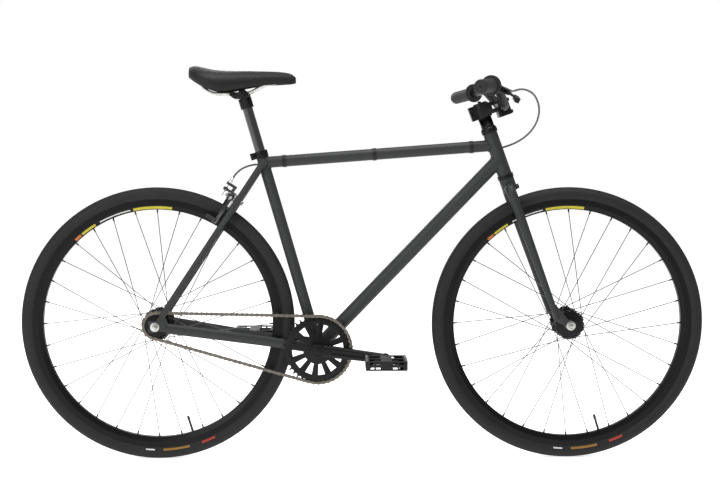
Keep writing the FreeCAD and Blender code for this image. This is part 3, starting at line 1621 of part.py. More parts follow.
def sprocket(centre, teeth, start_angle, bore, side, thickness):
    """A toothed disc: a round seat for each roller, straight flanks and flat tooth tips."""
    radius = pitch_radius(teeth)
    seat = roller_diameter / 2 + roller_seat_clearance
    tip_side = chain_pitch / 2 - tooth_tip_width / 2
    edges = []
    points = []
    for tooth in range(teeth):
        turn = math.radians(start_angle + full_turn * tooth / teeth)
        radial = Vector(math.cos(turn), 0, math.sin(turn))
        sideways = Vector(-math.sin(turn), 0, math.cos(turn))
        origin = centre + across * (side - thickness / 2)
        points.append([
            origin + radial * (radius + tooth_height) - sideways * tip_side,
            origin + radial * radius - sideways * seat,
            origin + radial * (radius - seat),
            origin + radial * radius + sideways * seat,
            origin + radial * (radius + tooth_height) + sideways * tip_side,
        ])
    for tooth, corners in enumerate(points):
        following = points[(tooth + 1) % teeth]
        edges.append(Part.LineSegment(corners[0], corners[1]).toShape())
        edges.append(Part.Arc(corners[1], corners[2], corners[3]).toShape())
        edges.append(Part.LineSegment(corners[3], corners[4]).toShape())
        edges.append(Part.LineSegment(corners[4], following[0]).toShape())
    disc = Part.Face(Part.Wire(edges)).extrude(across * thickness)
    reach = across * (side - thickness)
    return disc.cut(rod(centre + reach, centre + reach + across * (2 * thickness), bore))


def make_rear_cog():
    cog = sprocket(rear_axle, cog_teeth, cog_start, cog_carrier_diameter, -chain_line, sprocket_thickness)
    ring_inner = rear_axle - across * (chain_line + sprocket_thickness / 2)
    ring_outer = ring_inner - across * lockring_thickness
    lockring = pipe(ring_outer, ring_inner, lockring_diameter, cog_carrier_diameter)
    return Part.makeCompound([cog, lockring])


cog_carrier_reach = chain_line + sprocket_thickness / 2 + lockring_thickness


def make_chainring():
    ring = sprocket(bracket, chainring_teeth, ring_start, spindle_diameter, -chain_line, sprocket_thickness)
    depth = across * (2 * sprocket_thickness)
    start = -chain_line - sprocket_thickness
    windows = []
    for index in range(chainring_window_count):
        middle = crank_angle + full_turn * (index + 0.5) / chainring_window_count
        inner = chainring_window_inner_half_angle
        outer = chainring_window_outer_half_angle
        corners = [
            around(bracket, chainring_window_inner, middle - inner, start),
            around(bracket, chainring_window_outer, middle - outer, start),
            around(bracket, chainring_window_outer, middle + outer, start),
            around(bracket, chainring_window_inner, middle + inner, start),
        ]
        windows.append(prism(corners, depth))
    ring = ring.cut(Part.makeCompound(windows))
    half = across * (chainring_hub_thickness / 2)
    middle = bracket - across * chain_line
    ring = ring.fuse(pipe(middle - half, middle + half, chainring_hub_diameter, spindle_diameter))
    return ring.cut(sprocket_bolt()).removeSplitter()


def run_points(start, end, links):
    return [start + (end - start) * (index / links) for index in range(1, links)]


def chain_rollers():
    """Roller centres round both sprockets and along both straight runs, an even number of them."""
    side = -chain_line
    ring_count = int((180 + 2 * belt_angle) / ring_step) + 1
    cog_count = int((180 - 2 * belt_angle) / cog_step) + 1
    ring_angles = [ring_start + ring_step * index for index in range(ring_count)]
    cog_angles = [cog_start + cog_step * index for index in range(cog_count)]
    ring = [around(bracket, ring_radius, angle, side) for angle in ring_angles]
    cog = [around(rear_axle, cog_radius, angle, side) for angle in cog_angles]
    upper = round((cog[0] - ring[-1]).Length / chain_pitch)
    lower_length = (ring[0] - cog[-1]).Length / chain_pitch
    lower = round(lower_length)
    if (ring_count + cog_count + upper + lower) % 2:
        lower += 1 if lower_length > lower else -1
    print("chain links", ring_count + cog_count + upper + lower - 2,
          "upper pitch", round((cog[0] - ring[-1]).Length / upper, 3),
          "lower pitch", round(lower_length * chain_pitch / lower, 3))
    return ring + run_points(ring[-1], cog[0], upper) + cog + run_points(cog[-1], ring[0], lower)


def link_plate(length, near, far):
    """A waisted plate with round ends, lying along X, between two sides."""
    start = across * near
    depth = across * (far - near)
    half = Vector(0, 0, chain_waist_height / 2)
    first = Vector(-length / 2, 0, 0) + start
    last = Vector(length / 2, 0, 0) + start
    plate = prism([first - half, last - half, last + half, first + half], depth)
    for end in (first, last):
        plate = plate.fuse(rod(end, end + depth, chain_plate_height))
    return plate


def chain_link(length, is_outer):
    """An inner link with rollers and bores, or an outer link with its pins."""
    inner_y = chain_inner_width / 2
    if is_outer:
        inner_y += chain_plate_thickness + chain_plate_gap
    outer_y = inner_y + chain_plate_thickness
    link = link_plate(length, -outer_y, -inner_y).fuse(link_plate(length, inner_y, outer_y))
    for end in (-length / 2, length / 2):
        middle = Vector(end, 0, 0)
        if is_outer:
            reach = across * (outer_y + chain_pin_beyond)
            link = link.fuse(rod(middle - reach, middle + reach, chain_pin_diameter))
        else:
            reach = across * outer_y
            link = link.fuse(rod(middle - across * inner_y, middle + across * inner_y, roller_diameter))
            link = link.cut(rod(middle - reach, middle + reach, chain_pin_diameter + 2 * slide_clearance))
    return link.removeSplitter()


def make_chain():
    rollers = chain_rollers()
    patterns = {}
    links = []
    for index, start in enumerate(rollers):
        end = rollers[(index + 1) % len(rollers)]
        run = end - start
        is_outer = index % 2 == 1
        kind = (round(run.Length, 3), is_outer)
        if kind not in patterns:
            patterns[kind] = chain_link(run.Length, is_outer)
        link = patterns[kind].copy()
        turn = math.degrees(math.atan2(run.z, run.x))
        link.Placement = FreeCAD.Placement(start + run * 0.5, Rotation(across, -turn))
        links.append(link)
    return Part.makeCompound(links)


crank_way = around(Vector(0, 0, 0), 1, crank_angle)
crank_lift = around(Vector(0, 0, 0), 1, crank_angle + 90)


def on_crank(along, lift, side):
    """A point on the right crank, from the bottom bracket's middle."""
    return bracket + crank_way * along + crank_lift * lift - across * side


def turned_to_left(shape):
    """The left crank: the right one turned half a turn about the steering plane's crank axis."""
    copy = mirrored(shape)
    copy.rotate(bracket, across, 180)
    return copy


def crank_section(along, height, inner, thickness):
    half = height / 2
    chamfer = height * crank_chamfer_share
    bevel = thickness * crank_chamfer_share
    outer = inner + thickness
    outline = [
        (-half, inner),
        (-half, outer - bevel),
        (chamfer - half, outer),
        (half - chamfer, outer),
        (half, outer - bevel),
        (half, inner),
    ]
    points = [on_crank(along, lift, side) for lift, side in outline]
    return Part.makePolygon(points + [points[0]])


def sprocket_bolt():
    """The bolt that drives the chainring from the right arm."""
    near = on_crank(sprocket_bolt_reach, 0, chain_line - chainring_hub_thickness / 2)
    face = on_crank(sprocket_bolt_reach, 0, crank_inner_y + crank_root_thickness)
    head_end = face - across * sprocket_bolt_head_length
    shank = rod(near, face, sprocket_bolt_diameter)
    return shank.fuse(rod(face, head_end, sprocket_bolt_head_diameter)).removeSplitter()


def right_crank_arm():
    boss_end = crank_inner_y + crank_boss_width
    boss = rod(on_crank(0, 0, crank_inner_y), on_crank(0, 0, boss_end), crank_boss_diameter)
    eye_end = crank_eye_inner_y + crank_eye_width
    eye_start = on_crank(crank_length, 0, crank_eye_inner_y)
    eye = rod(eye_start, on_crank(crank_length, 0, eye_end), crank_eye_diameter)
    root_along = crank_length * crank_root_share
    tip_along = crank_length * crank_tip_share
    root = crank_section(root_along, crank_root_height, crank_inner_y, crank_root_thickness)
    tip = crank_section(tip_along, crank_tip_height, crank_eye_inner_y, crank_tip_thickness)
    arm = Part.makeLoft([root, tip], True, True).fuse(boss).fuse(eye)
    slope = (crank_eye_inner_y + crank_tip_thickness) - (crank_inner_y + crank_root_thickness)
    floor_root = crank_inner_y + crank_root_thickness - crank_groove_depth
    groove_half = crank_groove_height / 2
    points = []
    for share in crank_groove_shares:
        floor = floor_root + slope * (share - crank_root_share) / (crank_tip_share - crank_root_share)
        points.append(on_crank(crank_length * share, -groove_half, floor))
    cover = across * (crank_boss_width + overrun)
    corners = [points[0], points[1], points[1] - cover, points[0] - cover]
    arm = arm.cut(prism(corners, crank_lift * crank_groove_height))
    arm = arm.cut(rod(on_crank(0, 0, 0), on_crank(0, 0, boss_end), spindle_diameter))
    axle_hole_end = eye_end + overrun
    axle_hole = rod(on_crank(crank_length, 0, crank_eye_inner_y), on_crank(crank_length, 0, axle_hole_end),
                    pedal_axle_diameter)
    return arm.cut(axle_hole).removeSplitter()


def make_crank_arms():
    arm = right_crank_arm()
    return Part.makeCompound([arm.cut(sprocket_bolt()), turned_to_left(arm)])


def make_crank_spindle():
    """The spindle with its drive-side collar and the bolts that hold the arms and the chainring."""
    boss_end = crank_inner_y + crank_boss_width
    spindle = rod(on_crank(0, 0, -boss_end), on_crank(0, 0, boss_end), spindle_diameter)
    collar_start = bottom_bracket_width / 2 + touch_gap
    collar_end = chain_line - chainring_hub_thickness / 2
    collar = rod(on_crank(0, 0, collar_start), on_crank(0, 0, collar_end), spindle_collar_diameter)
    spindle = spindle.fuse(collar)
    outer_collar = chain_line + chainring_hub_thickness / 2
    arm_face = on_crank(0, 0, crank_inner_y)
    spindle = spindle.fuse(rod(on_crank(0, 0, outer_collar), arm_face, spindle_collar_diameter))
    left_collar = rod(on_crank(0, 0, -collar_start), on_crank(0, 0, -crank_inner_y), spindle_collar_diameter)
    spindle = spindle.fuse(left_collar).removeSplitter()
    pieces = [spindle]
    for side in (-1, 1):
        start = on_crank(0, 0, side * boss_end)
        end = on_crank(0, 0, side * (boss_end + spindle_bolt_length))
        pieces.append(rod(start, end, spindle_bolt_diameter))
    pieces.append(sprocket_bolt())
    return Part.makeCompound(pieces)


pedal_inner = crank_eye_inner_y + crank_eye_width + pedal_flange_thickness + pedal_gap
pedal_centre = on_crank(crank_length, 0, 0)


def on_pedal(forward, side, rise):
    return pedal_centre + Vector(forward, -side, rise)


def right_pedal_axle():
    eye_end = crank_eye_inner_y + crank_eye_width
    end = pedal_inner + pedal_width - pedal_plate_width
    axle = rod(on_pedal(0, crank_eye_inner_y, 0), on_pedal(0, end, 0), pedal_axle_diameter)
    flange_end = eye_end + pedal_flange_thickness
    flange = rod(on_pedal(0, eye_end, 0), on_pedal(0, flange_end, 0), pedal_flange_diameter)
    return axle.fuse(flange).removeSplitter()


def pedal_box(rear, front, near, far, low, high):
    corners = [on_pedal(rear, near, low), on_pedal(front, near, low)]
    corners += [on_pedal(front, far, low), on_pedal(rear, far, low)]
    return prism(corners, upward * (high - low))


def right_pedal():
    """A platform: end plates, front and rear rails, a spine on the axle and ribs, all with windows."""
    half = pedal_length / 2
    rise = pedal_thickness / 2
    far = pedal_inner + pedal_width
    body = pedal_box(-half, half, pedal_inner, far, -rise, rise)
    upright_lean = math.cos(math.radians(1))
    uprights = [edge for edge in body.Edges if abs(edge.tangentAt(edge.FirstParameter).z) > upright_lean]
    body = body.makeFillet(pedal_corner_radius, uprights)
    spine = pedal_spine_width / 2
    rail = half - pedal_rail_width
    middle = pedal_inner + pedal_width / 2
    cuts = []
    for sign in (-1, 1):
        first, last = sorted((sign * spine, sign * rail))
        near_bay = (pedal_inner + pedal_plate_width, middle - pedal_rib_width / 2)
        far_bay = (middle + pedal_rib_width / 2, far - pedal_plate_width)
        for near_side, far_side in (near_bay, far_bay):
            cuts.append(pedal_box(first, last, near_side, far_side, -rise - overrun, rise + overrun))
        for row in (-1, 1):
            low = row * pedal_row_spread / 2 - pedal_window_height / 2
            for index in range(2):
                start = spine + pedal_window_gap / 2 + index * (pedal_window_length + pedal_window_gap)
                rear, front = sorted((sign * start, sign * (start + pedal_window_length)))
                high = low + pedal_window_height
                cuts.append(pedal_box(rear, front, pedal_inner - overrun, far + overrun, low, high))
    bore_end = far - pedal_plate_width + pedal_gap
    cuts.append(rod(on_pedal(0, pedal_inner - overrun, 0), on_pedal(0, bore_end, 0),
                    pedal_axle_diameter + 2 * slide_clearance))
    return body.cut(Part.makeCompound(cuts)).removeSplitter()


def moved_to_left(shape):
    """A right pedal piece carried to the left crank, level as it was."""
    copy = mirrored(shape)
    copy.translate((bracket - pedal_centre) * 2)
    return copy


def make_pedal_axles():
    return Part.makeCompound([right_pedal_axle(), moved_to_left(right_pedal_axle())])


front_lacing = lacing(front_axle, front_flange_spacing)
rear_lacing = lacing(rear_axle, rear_flange_spacing)

nodes = {
    "head_tube": make_head_tube,
    "top_tube": make_top_tube,
    "down_tube": make_down_tube,
    "seat_tube": make_seat_tube,
    "bottom_bracket_shell": make_bottom_bracket_shell,
    "chain_stays": lambda: both_sides(chain_stay),
    "seat_stays": lambda: both_sides(seat_stay),
    "stay_bridges": make_stay_bridges,
    "rear_dropouts": lambda: both_sides(dropout_plate),
    "headset_cups": make_headset_cups,
    "frame_bearings": make_frame_bearings,
    "seat_clamp": make_seat_clamp,
    "brake_pivot": make_brake_pivot,
    "rear_housing": make_rear_housing,
    "front_housing": make_front_housing,
    "cable_clips": make_cable_clips,
    "chain": make_chain,
    "rear_axle": lambda: make_axle(rear_axle, rear_axle_diameter, rear_dropout_spacing, dropout_thickness,
                                   rear_hub_width),
    "seat_post": make_seat_post,
    "saddle_clamp": make_saddle_clamp,
    "saddle_rails": lambda: saddle_rails,
    "saddle_base": make_saddle_base,
    "saddle_cover": make_saddle_cover,
    "fork_steerer": make_fork_steerer,
    "fork_blades": lambda: both_sides(left_fork_blade()),
    "fork_dropouts": lambda: both_sides(fork_dropout),
    "headset_spacers": make_headset_spacers,
    "stem_body": make_stem_body,
    "stem_faceplate": make_stem_faceplate,
    "stem_bolts": make_stem_bolts,
    "handlebar": make_handlebar,
    "grips": lambda: both_sides(right_grip()),
    "lever_bracket": make_lever_bracket,
    "lever_adjuster": make_lever_adjuster,
    "brake_lever": make_brake_lever,
    "front_axle": lambda: make_axle(front_axle, front_axle_diameter, front_dropout_spacing,
                                    fork_dropout_thickness, front_hub_width),
    "front_tyre": lambda: make_tyre(front_axle),
    "front_inner_tube": lambda: make_inner_tube(front_axle),
    "front_rim": lambda: make_rim(front_axle, front_lacing),
    "front_spokes": lambda: make_spokes(front_lacing),
    "front_nipples": lambda: make_nipples(front_lacing),
    "front_hub": lambda: make_hub(front_axle, front_lacing, front_flange_spacing, front_hub_width, 0),
    "rear_tyre": lambda: make_tyre(rear_axle),
    "rear_inner_tube": lambda: make_inner_tube(rear_axle),
    "rear_rim": lambda: make_rim(rear_axle, rear_lacing),
    "rear_spokes": lambda: make_spokes(rear_lacing),
    "rear_nipples": lambda: make_nipples(rear_lacing),
    "rear_hub": lambda: make_hub(rear_axle, rear_lacing, rear_flange_spacing, rear_hub_width,
                                 cog_carrier_reach),
    "rear_cog": make_rear_cog,
    "crank_spindle": make_crank_spindle,
    "crank_arms": make_crank_arms,
    "chainring": make_chainring,
    "pedal_axles": make_pedal_axles,
    "right_pedal": right_pedal,
    "left_pedal": lambda: moved_to_left(right_pedal()),
    "brake_barrel": make_brake_barrel,
    "left_brake_arm": make_left_brake_arm,
    "right_brake_arm": make_right_brake_arm,
    "left_brake_pad": lambda: brake_pad(1),
    "right_brake_pad": lambda: brake_pad(-1),
}

os.makedirs("parts", exist_ok=True)
for name, maker in nodes.items():
    shape = maker()
    solids = shape.Solids
    print(name, "solids", len(solids), "volume", round(shape.Volume), "valid", shape.isValid())
    shape.exportStep(f"parts/{name}.step")
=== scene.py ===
# %% [markdown]
# This lesson dresses a fixed gear bike. The solids come from the CAD pack, already in place and in metres:
# +X is forward, +Y the rider's left, +Z up, and the drive side faces the camera. Nothing in the pack is
# moved. The lesson only adds finishes and the soft, ribbed and welded pieces that a solid modeller leaves
# plain.

# %% Load the frame
import json
import math

import bpy
from mathutils import Matrix, Vector
from mathutils.bvhtree import BVHTree

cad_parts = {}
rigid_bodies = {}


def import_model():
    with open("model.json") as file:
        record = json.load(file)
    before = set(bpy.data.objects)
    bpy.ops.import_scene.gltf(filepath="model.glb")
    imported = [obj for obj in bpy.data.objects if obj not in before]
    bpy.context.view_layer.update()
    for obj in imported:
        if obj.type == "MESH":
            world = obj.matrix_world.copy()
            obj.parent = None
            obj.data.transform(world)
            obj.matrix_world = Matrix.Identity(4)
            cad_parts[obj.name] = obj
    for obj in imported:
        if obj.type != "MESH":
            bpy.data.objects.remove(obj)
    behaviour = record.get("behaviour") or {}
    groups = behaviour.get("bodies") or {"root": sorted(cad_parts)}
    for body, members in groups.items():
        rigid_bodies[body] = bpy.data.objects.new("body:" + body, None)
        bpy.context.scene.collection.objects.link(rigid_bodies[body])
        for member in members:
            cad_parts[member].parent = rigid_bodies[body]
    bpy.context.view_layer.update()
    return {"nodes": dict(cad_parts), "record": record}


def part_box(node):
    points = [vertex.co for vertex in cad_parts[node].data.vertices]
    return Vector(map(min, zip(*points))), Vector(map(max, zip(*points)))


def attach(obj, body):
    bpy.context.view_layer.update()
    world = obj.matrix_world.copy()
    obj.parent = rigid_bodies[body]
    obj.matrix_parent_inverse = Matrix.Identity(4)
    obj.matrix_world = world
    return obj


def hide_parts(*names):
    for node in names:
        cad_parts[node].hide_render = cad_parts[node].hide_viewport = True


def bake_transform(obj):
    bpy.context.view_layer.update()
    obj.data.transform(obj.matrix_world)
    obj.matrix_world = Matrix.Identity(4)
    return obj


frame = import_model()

nodes = frame["nodes"]
bodies = frame["record"]["behaviour"]["bodies"]
body_of_node = {node: body for body, members in bodies.items() for node in members}

# %% [markdown]
# The camera stands where the photographer stood: about three metres off the drive side, a little above the
# axles and tipped down a few degrees. A long lens keeps the two wheels almost round.

# %% Camera
CAMERA_PLACE = (-0.057, -3.132, 0.781)
CAMERA_PITCH = 4.07
CAMERA_YAW = 0.89
CAMERA_LENS = 61.95
SENSOR_WIDTH = 36.0
FARTHEST_SEEN = 200

bpy.ops.object.camera_add(
    location=CAMERA_PLACE,
    rotation=(math.radians(90 - CAMERA_PITCH), 0, math.radians(-CAMERA_YAW)),
)
camera = bpy.context.object
camera.name = "photo_camera"
camera.data.lens = CAMERA_LENS
camera.data.sensor_width = SENSOR_WIDTH
camera.data.dof.use_dof = False
camera.data.clip_end = FARTHEST_SEEN
bpy.context.scene.camera = camera
print("camera", tuple(round(v, 3) for v in camera.location))

# %% [markdown]
# The bike stands in a white studio. A wide pale floor and a white sky wash it evenly, and three soft boxes
# draw the long highlights that let a viewer read round tubes in a dark paint.

# %% Floor, sky and soft boxes
SKY_SEEN = 1.0
SKY_LIGHT = 0.42
FLOOR_RADIUS = 40.0
FLOOR_SIDES = 96
FLOOR_COLOUR = (0.90, 0.90, 0.90, 1)
FLOOR_ROUGHNESS = 0.9
FLOOR_GLOW = 0.66
LIGHTS = (
    ("overhead_box", (0.1, -0.5, 3.2), (0, 0, 0.4), 2.6, 1.6, 95),
    ("front_left_box", (-2.6, -3.0, 1.9), (-0.1, 0, 0.5), 1.4, 2.0, 60),
    ("rear_box", (-1.2, 3.2, 2.2), (0, 0, 0.5), 2.0, 1.6, 45),
)

sky = bpy.data.worlds.new("white_studio")
sky.use_nodes = True
backdrop = sky.node_tree.nodes["Background"]
backdrop.inputs["Color"].default_value = (1, 1, 1, 1)
seen = sky.node_tree.nodes.new("ShaderNodeMapRange")
seen.inputs["To Min"].default_value = SKY_LIGHT
seen.inputs["To Max"].default_value = SKY_SEEN
ray = sky.node_tree.nodes.new("ShaderNodeLightPath")
sky.node_tree.links.new(ray.outputs["Is Camera Ray"], seen.inputs["Value"])
sky.node_tree.links.new(seen.outputs["Result"], backdrop.inputs["Strength"])
bpy.context.scene.world = sky
bpy.context.scene.view_settings.view_transform = "Standard"


def deselect_all():
    """Leave edit mode and let go of everything."""
    if bpy.context.mode != "OBJECT":
        bpy.ops.object.mode_set(mode="OBJECT")
    bpy.ops.object.select_all(action="DESELECT")


deselect_all()
bpy.ops.mesh.primitive_circle_add(vertices=FLOOR_SIDES, radius=FLOOR_RADIUS, fill_type="NGON")
floor = bpy.context.object
floor.name = "studio_floor"
floor_white = bpy.data.materials.new("studio_white")
floor_white.use_nodes = True
floor_sockets = floor_white.node_tree.nodes["Principled BSDF"].inputs
floor_sockets["Base Color"].default_value = FLOOR_COLOUR
floor_sockets["Roughness"].default_value = FLOOR_ROUGHNESS
floor_sockets["Specular IOR Level"].default_value = 0.0
floor_sockets["Emission Color"].default_value = (1, 1, 1, 1)
floor_sockets["Emission Strength"].default_value = FLOOR_GLOW
floor.data.materials.append(floor_white)
for name, place, target, width, height, power in LIGHTS:
    bpy.ops.object.light_add(type="AREA", location=place)
    box = bpy.context.object
    box.name = name
    box.data.shape = "RECTANGLE"
    box.data.size = width
    box.data.size_y = height
    box.data.energy = power
    box.rotation_euler = (Vector(target) - Vector(place)).to_track_quat("-Z", "Y").to_euler()
print("stage", floor.name, "and", len(LIGHTS), "soft boxes")

# %% [markdown]
# Effects that several finishes share are built once, as shader node groups: a fine grain, a slow drift of
# the colour, bright wear on edges (on the polished black partly a painted highlight), and a coloured band
# round a wheel. Each puts out only a mask, a value or a colour, and the material that uses it sets its own
# amounts.

# %% Shared effects
VALUE = "NodeSocketFloat"
VECTOR = "NodeSocketVector"
COLOUR = "NodeSocketColor"
MIX_FACTOR, MIX_FIRST, MIX_SECOND, MIX_RESULT = 0, 6, 7, 2
DRIFT_DETAIL = 5.0
DRIFT_RANGE = (0.35, 0.65)


def new_group(name, inputs, outputs):
    """An empty shader group with named sockets: (name, kind, default)."""
    group = bpy.data.node_groups.new(name, "ShaderNodeTree")
    for label, kind, default in inputs:
        socket = group.interface.new_socket(label, in_out="INPUT", socket_type=kind)
        if default is not None:
            socket.default_value = default
    for label, kind in outputs:
        group.interface.new_socket(label, in_out="OUTPUT", socket_type=kind)
    source = group.nodes.new("NodeGroupInput")
    sink = group.nodes.new("NodeGroupOutput")
    return group, source.outputs, sink.inputs


def math_node(tree, kind, first, second=None):
    """One Math node; each input is a socket or a number."""
    node = tree.nodes.new("ShaderNodeMath")
    node.operation = kind
    for socket, value in zip(node.inputs, (first, second)):
        if value is None:
            continue
        if isinstance(value, (int, float)):
            socket.default_value = value
        else:
            tree.links.new(value, socket)
    return node.outputs[0]


grain_group, given, put = new_group(
    "fine_grain",
    [("Place", VECTOR, None), ("Scale", VALUE, 900.0), ("Detail", VALUE, 2.0)],
    [("Grain", VALUE)])
noise = grain_group.nodes.new("ShaderNodeTexNoise")
grain_group.links.new(given["Place"], noise.inputs["Vector"])
grain_group.links.new(given["Scale"], noise.inputs["Scale"])
grain_group.links.new(given["Detail"], noise.inputs["Detail"])
grain_group.links.new(noise.outputs["Fac"], put["Grain"])

drift_group, given, put = new_group(
    "colour_drift",
    [("Place", VECTOR, None), ("Colour", COLOUR, (0.5, 0.5, 0.5, 1)),
     ("Second", COLOUR, (0.4, 0.4, 0.4, 1)), ("Scale", VALUE, 14.0)],
    [("Colour", COLOUR)])
noise = drift_group.nodes.new("ShaderNodeTexNoise")
noise.inputs["Detail"].default_value = DRIFT_DETAIL
spread = drift_group.nodes.new("ShaderNodeMapRange")
spread.inputs["From Min"].default_value, spread.inputs["From Max"].default_value = DRIFT_RANGE
mix = drift_group.nodes.new("ShaderNodeMix")
mix.data_type = "RGBA"
drift_group.links.new(given["Place"], noise.inputs["Vector"])
drift_group.links.new(given["Scale"], noise.inputs["Scale"])
drift_group.links.new(noise.outputs["Fac"], spread.inputs["Value"])
drift_group.links.new(spread.outputs["Result"], mix.inputs[MIX_FACTOR])
drift_group.links.new(given["Colour"], mix.inputs[MIX_FIRST])
drift_group.links.new(given["Second"], mix.inputs[MIX_SECOND])
drift_group.links.new(mix.outputs[MIX_RESULT], put["Colour"])

# Lightens marked edges: real wear on most finishes, and on the polished black also a painted highlight.
wear_and_sheen_group, given, put = new_group(
    "edge_wear_and_sheen",
    [("Place", VECTOR, None), ("Scale", VALUE, 160.0), ("Amount", VALUE, 0.5)],
    [("Mask", VALUE)])
edge = wear_and_sheen_group.nodes.new("ShaderNodeAttribute")
edge.attribute_name = "edge"
noise = wear_and_sheen_group.nodes.new("ShaderNodeTexNoise")
wear_and_sheen_group.links.new(given["Place"], noise.inputs["Vector"])
wear_and_sheen_group.links.new(given["Scale"], noise.inputs["Scale"])
patch = math_node(wear_and_sheen_group, "MULTIPLY", edge.outputs["Fac"], noise.outputs["Fac"])
patch = math_node(wear_and_sheen_group, "MULTIPLY", patch, given["Amount"])
wear_and_sheen_group.links.new(patch, put["Mask"])

band_group, given, put = new_group(
    "wheel_band",
    [("Place", VECTOR, None), ("Inner", VALUE, 0.3), ("Outer", VALUE, 0.31), ("Middle", VALUE, 0.0),
     ("Half", VALUE, 0.2)],
    [("Mask", VALUE)])
split = band_group.nodes.new("ShaderNodeSeparateXYZ")
band_group.links.new(given["Place"], split.inputs[0])
across_wheel, up_wheel = split.outputs["X"], split.outputs["Z"]
square = math_node(band_group, "ADD", math_node(band_group, "MULTIPLY", across_wheel, across_wheel),
                   math_node(band_group, "MULTIPLY", up_wheel, up_wheel))
radius = math_node(band_group, "SQRT", square)
outside_inner = math_node(band_group, "GREATER_THAN", radius, given["Inner"])
inside_outer = math_node(band_group, "LESS_THAN", radius, given["Outer"])
turn = math_node(band_group, "ARCTAN2", up_wheel, across_wheel)
apart = math_node(band_group, "ABSOLUTE", math_node(band_group, "SUBTRACT", turn, given["Middle"]))
in_turn = math_node(band_group, "LESS_THAN", apart, given["Half"])
ring = math_node(band_group, "MULTIPLY", outside_inner, inside_outer)
band_group.links.new(math_node(band_group, "MULTIPLY", ring, in_turn), put["Mask"])
print("groups", [group.name for group in bpy.data.node_groups])

# %% [markdown]
# A finish is one Principled shader fed by the groups: the drift colours it, the grain roughens it and lifts
# its surface in a bump, and wear lightens its edges, which on the polished black also paints a highlight.
# Every pattern reads Object coordinates, which are metres here, so a grain of 2000 is half a millimetre
# across whatever piece carries it.

# %% Finishes
BUMP_DISTANCE = 0.0005


def group_node(tree, group, place, **values):
    """A shared effect in a material. Returns its one output."""
    node = tree.nodes.new("ShaderNodeGroup")
    node.node_tree = group
    tree.links.new(place, node.inputs["Place"])
    for label, value in values.items():
        node.inputs[label].default_value = value
    return node.outputs[0]


def shade(colour, factor):
    """A colour made darker or left alone, with the opacity that sockets ask for."""
    return tuple(channel * factor for channel in colour) + (1,)


def new_finish(name, colour, metal=0.0, rough=(0.4, 0.5), grain=1500.0, lift=0.05, drift=0.8,
               drift_scale=14.0, wear=0.0, wear_and_sheen_colour=(0.3, 0.3, 0.3), **sockets):
    """A material made from the shared effects. Further names are sockets of its shader."""
    material = bpy.data.materials.new(name)
    material.use_nodes = True
    tree = material.node_tree
    shader = tree.nodes["Principled BSDF"]
    place = tree.nodes.new("ShaderNodeTexCoord").outputs["Object"]
    tint = group_node(tree, drift_group, place, Colour=shade(colour, 1), Second=shade(colour, drift),
                      Scale=drift_scale)
    if wear:
        mask = group_node(tree, wear_and_sheen_group, place, Amount=wear)
        tint = layer(tree, tint, mask, wear_and_sheen_colour)
    tree.links.new(tint, shader.inputs["Base Color"])
    dots = group_node(tree, grain_group, place, Scale=grain)
    polish = tree.nodes.new("ShaderNodeMapRange")
    polish.inputs["To Min"].default_value, polish.inputs["To Max"].default_value = rough
    tree.links.new(dots, polish.inputs["Value"])
    tree.links.new(polish.outputs["Result"], shader.inputs["Roughness"])
    bump = tree.nodes.new("ShaderNodeBump")
    bump.inputs["Strength"].default_value = lift
    bump.inputs["Distance"].default_value = BUMP_DISTANCE
    tree.links.new(dots, bump.inputs["Height"])
    tree.links.new(bump.outputs["Normal"], shader.inputs["Normal"])
    shader.inputs["Metallic"].default_value = metal
    for label, value in sockets.items():
        shader.inputs[label.replace("_", " ")].default_value = value
    return material


def layer(tree, under, mask, colour):
    """Another colour over the one below, where the mask is one."""
    mix = tree.nodes.new("ShaderNodeMix")
    mix.data_type = "RGBA"
    tree.links.new(mask, mix.inputs[MIX_FACTOR])
    tree.links.new(under, mix.inputs[MIX_FIRST])
    mix.inputs[MIX_SECOND].default_value = shade(colour, 1)
    return mix.outputs[MIX_RESULT]


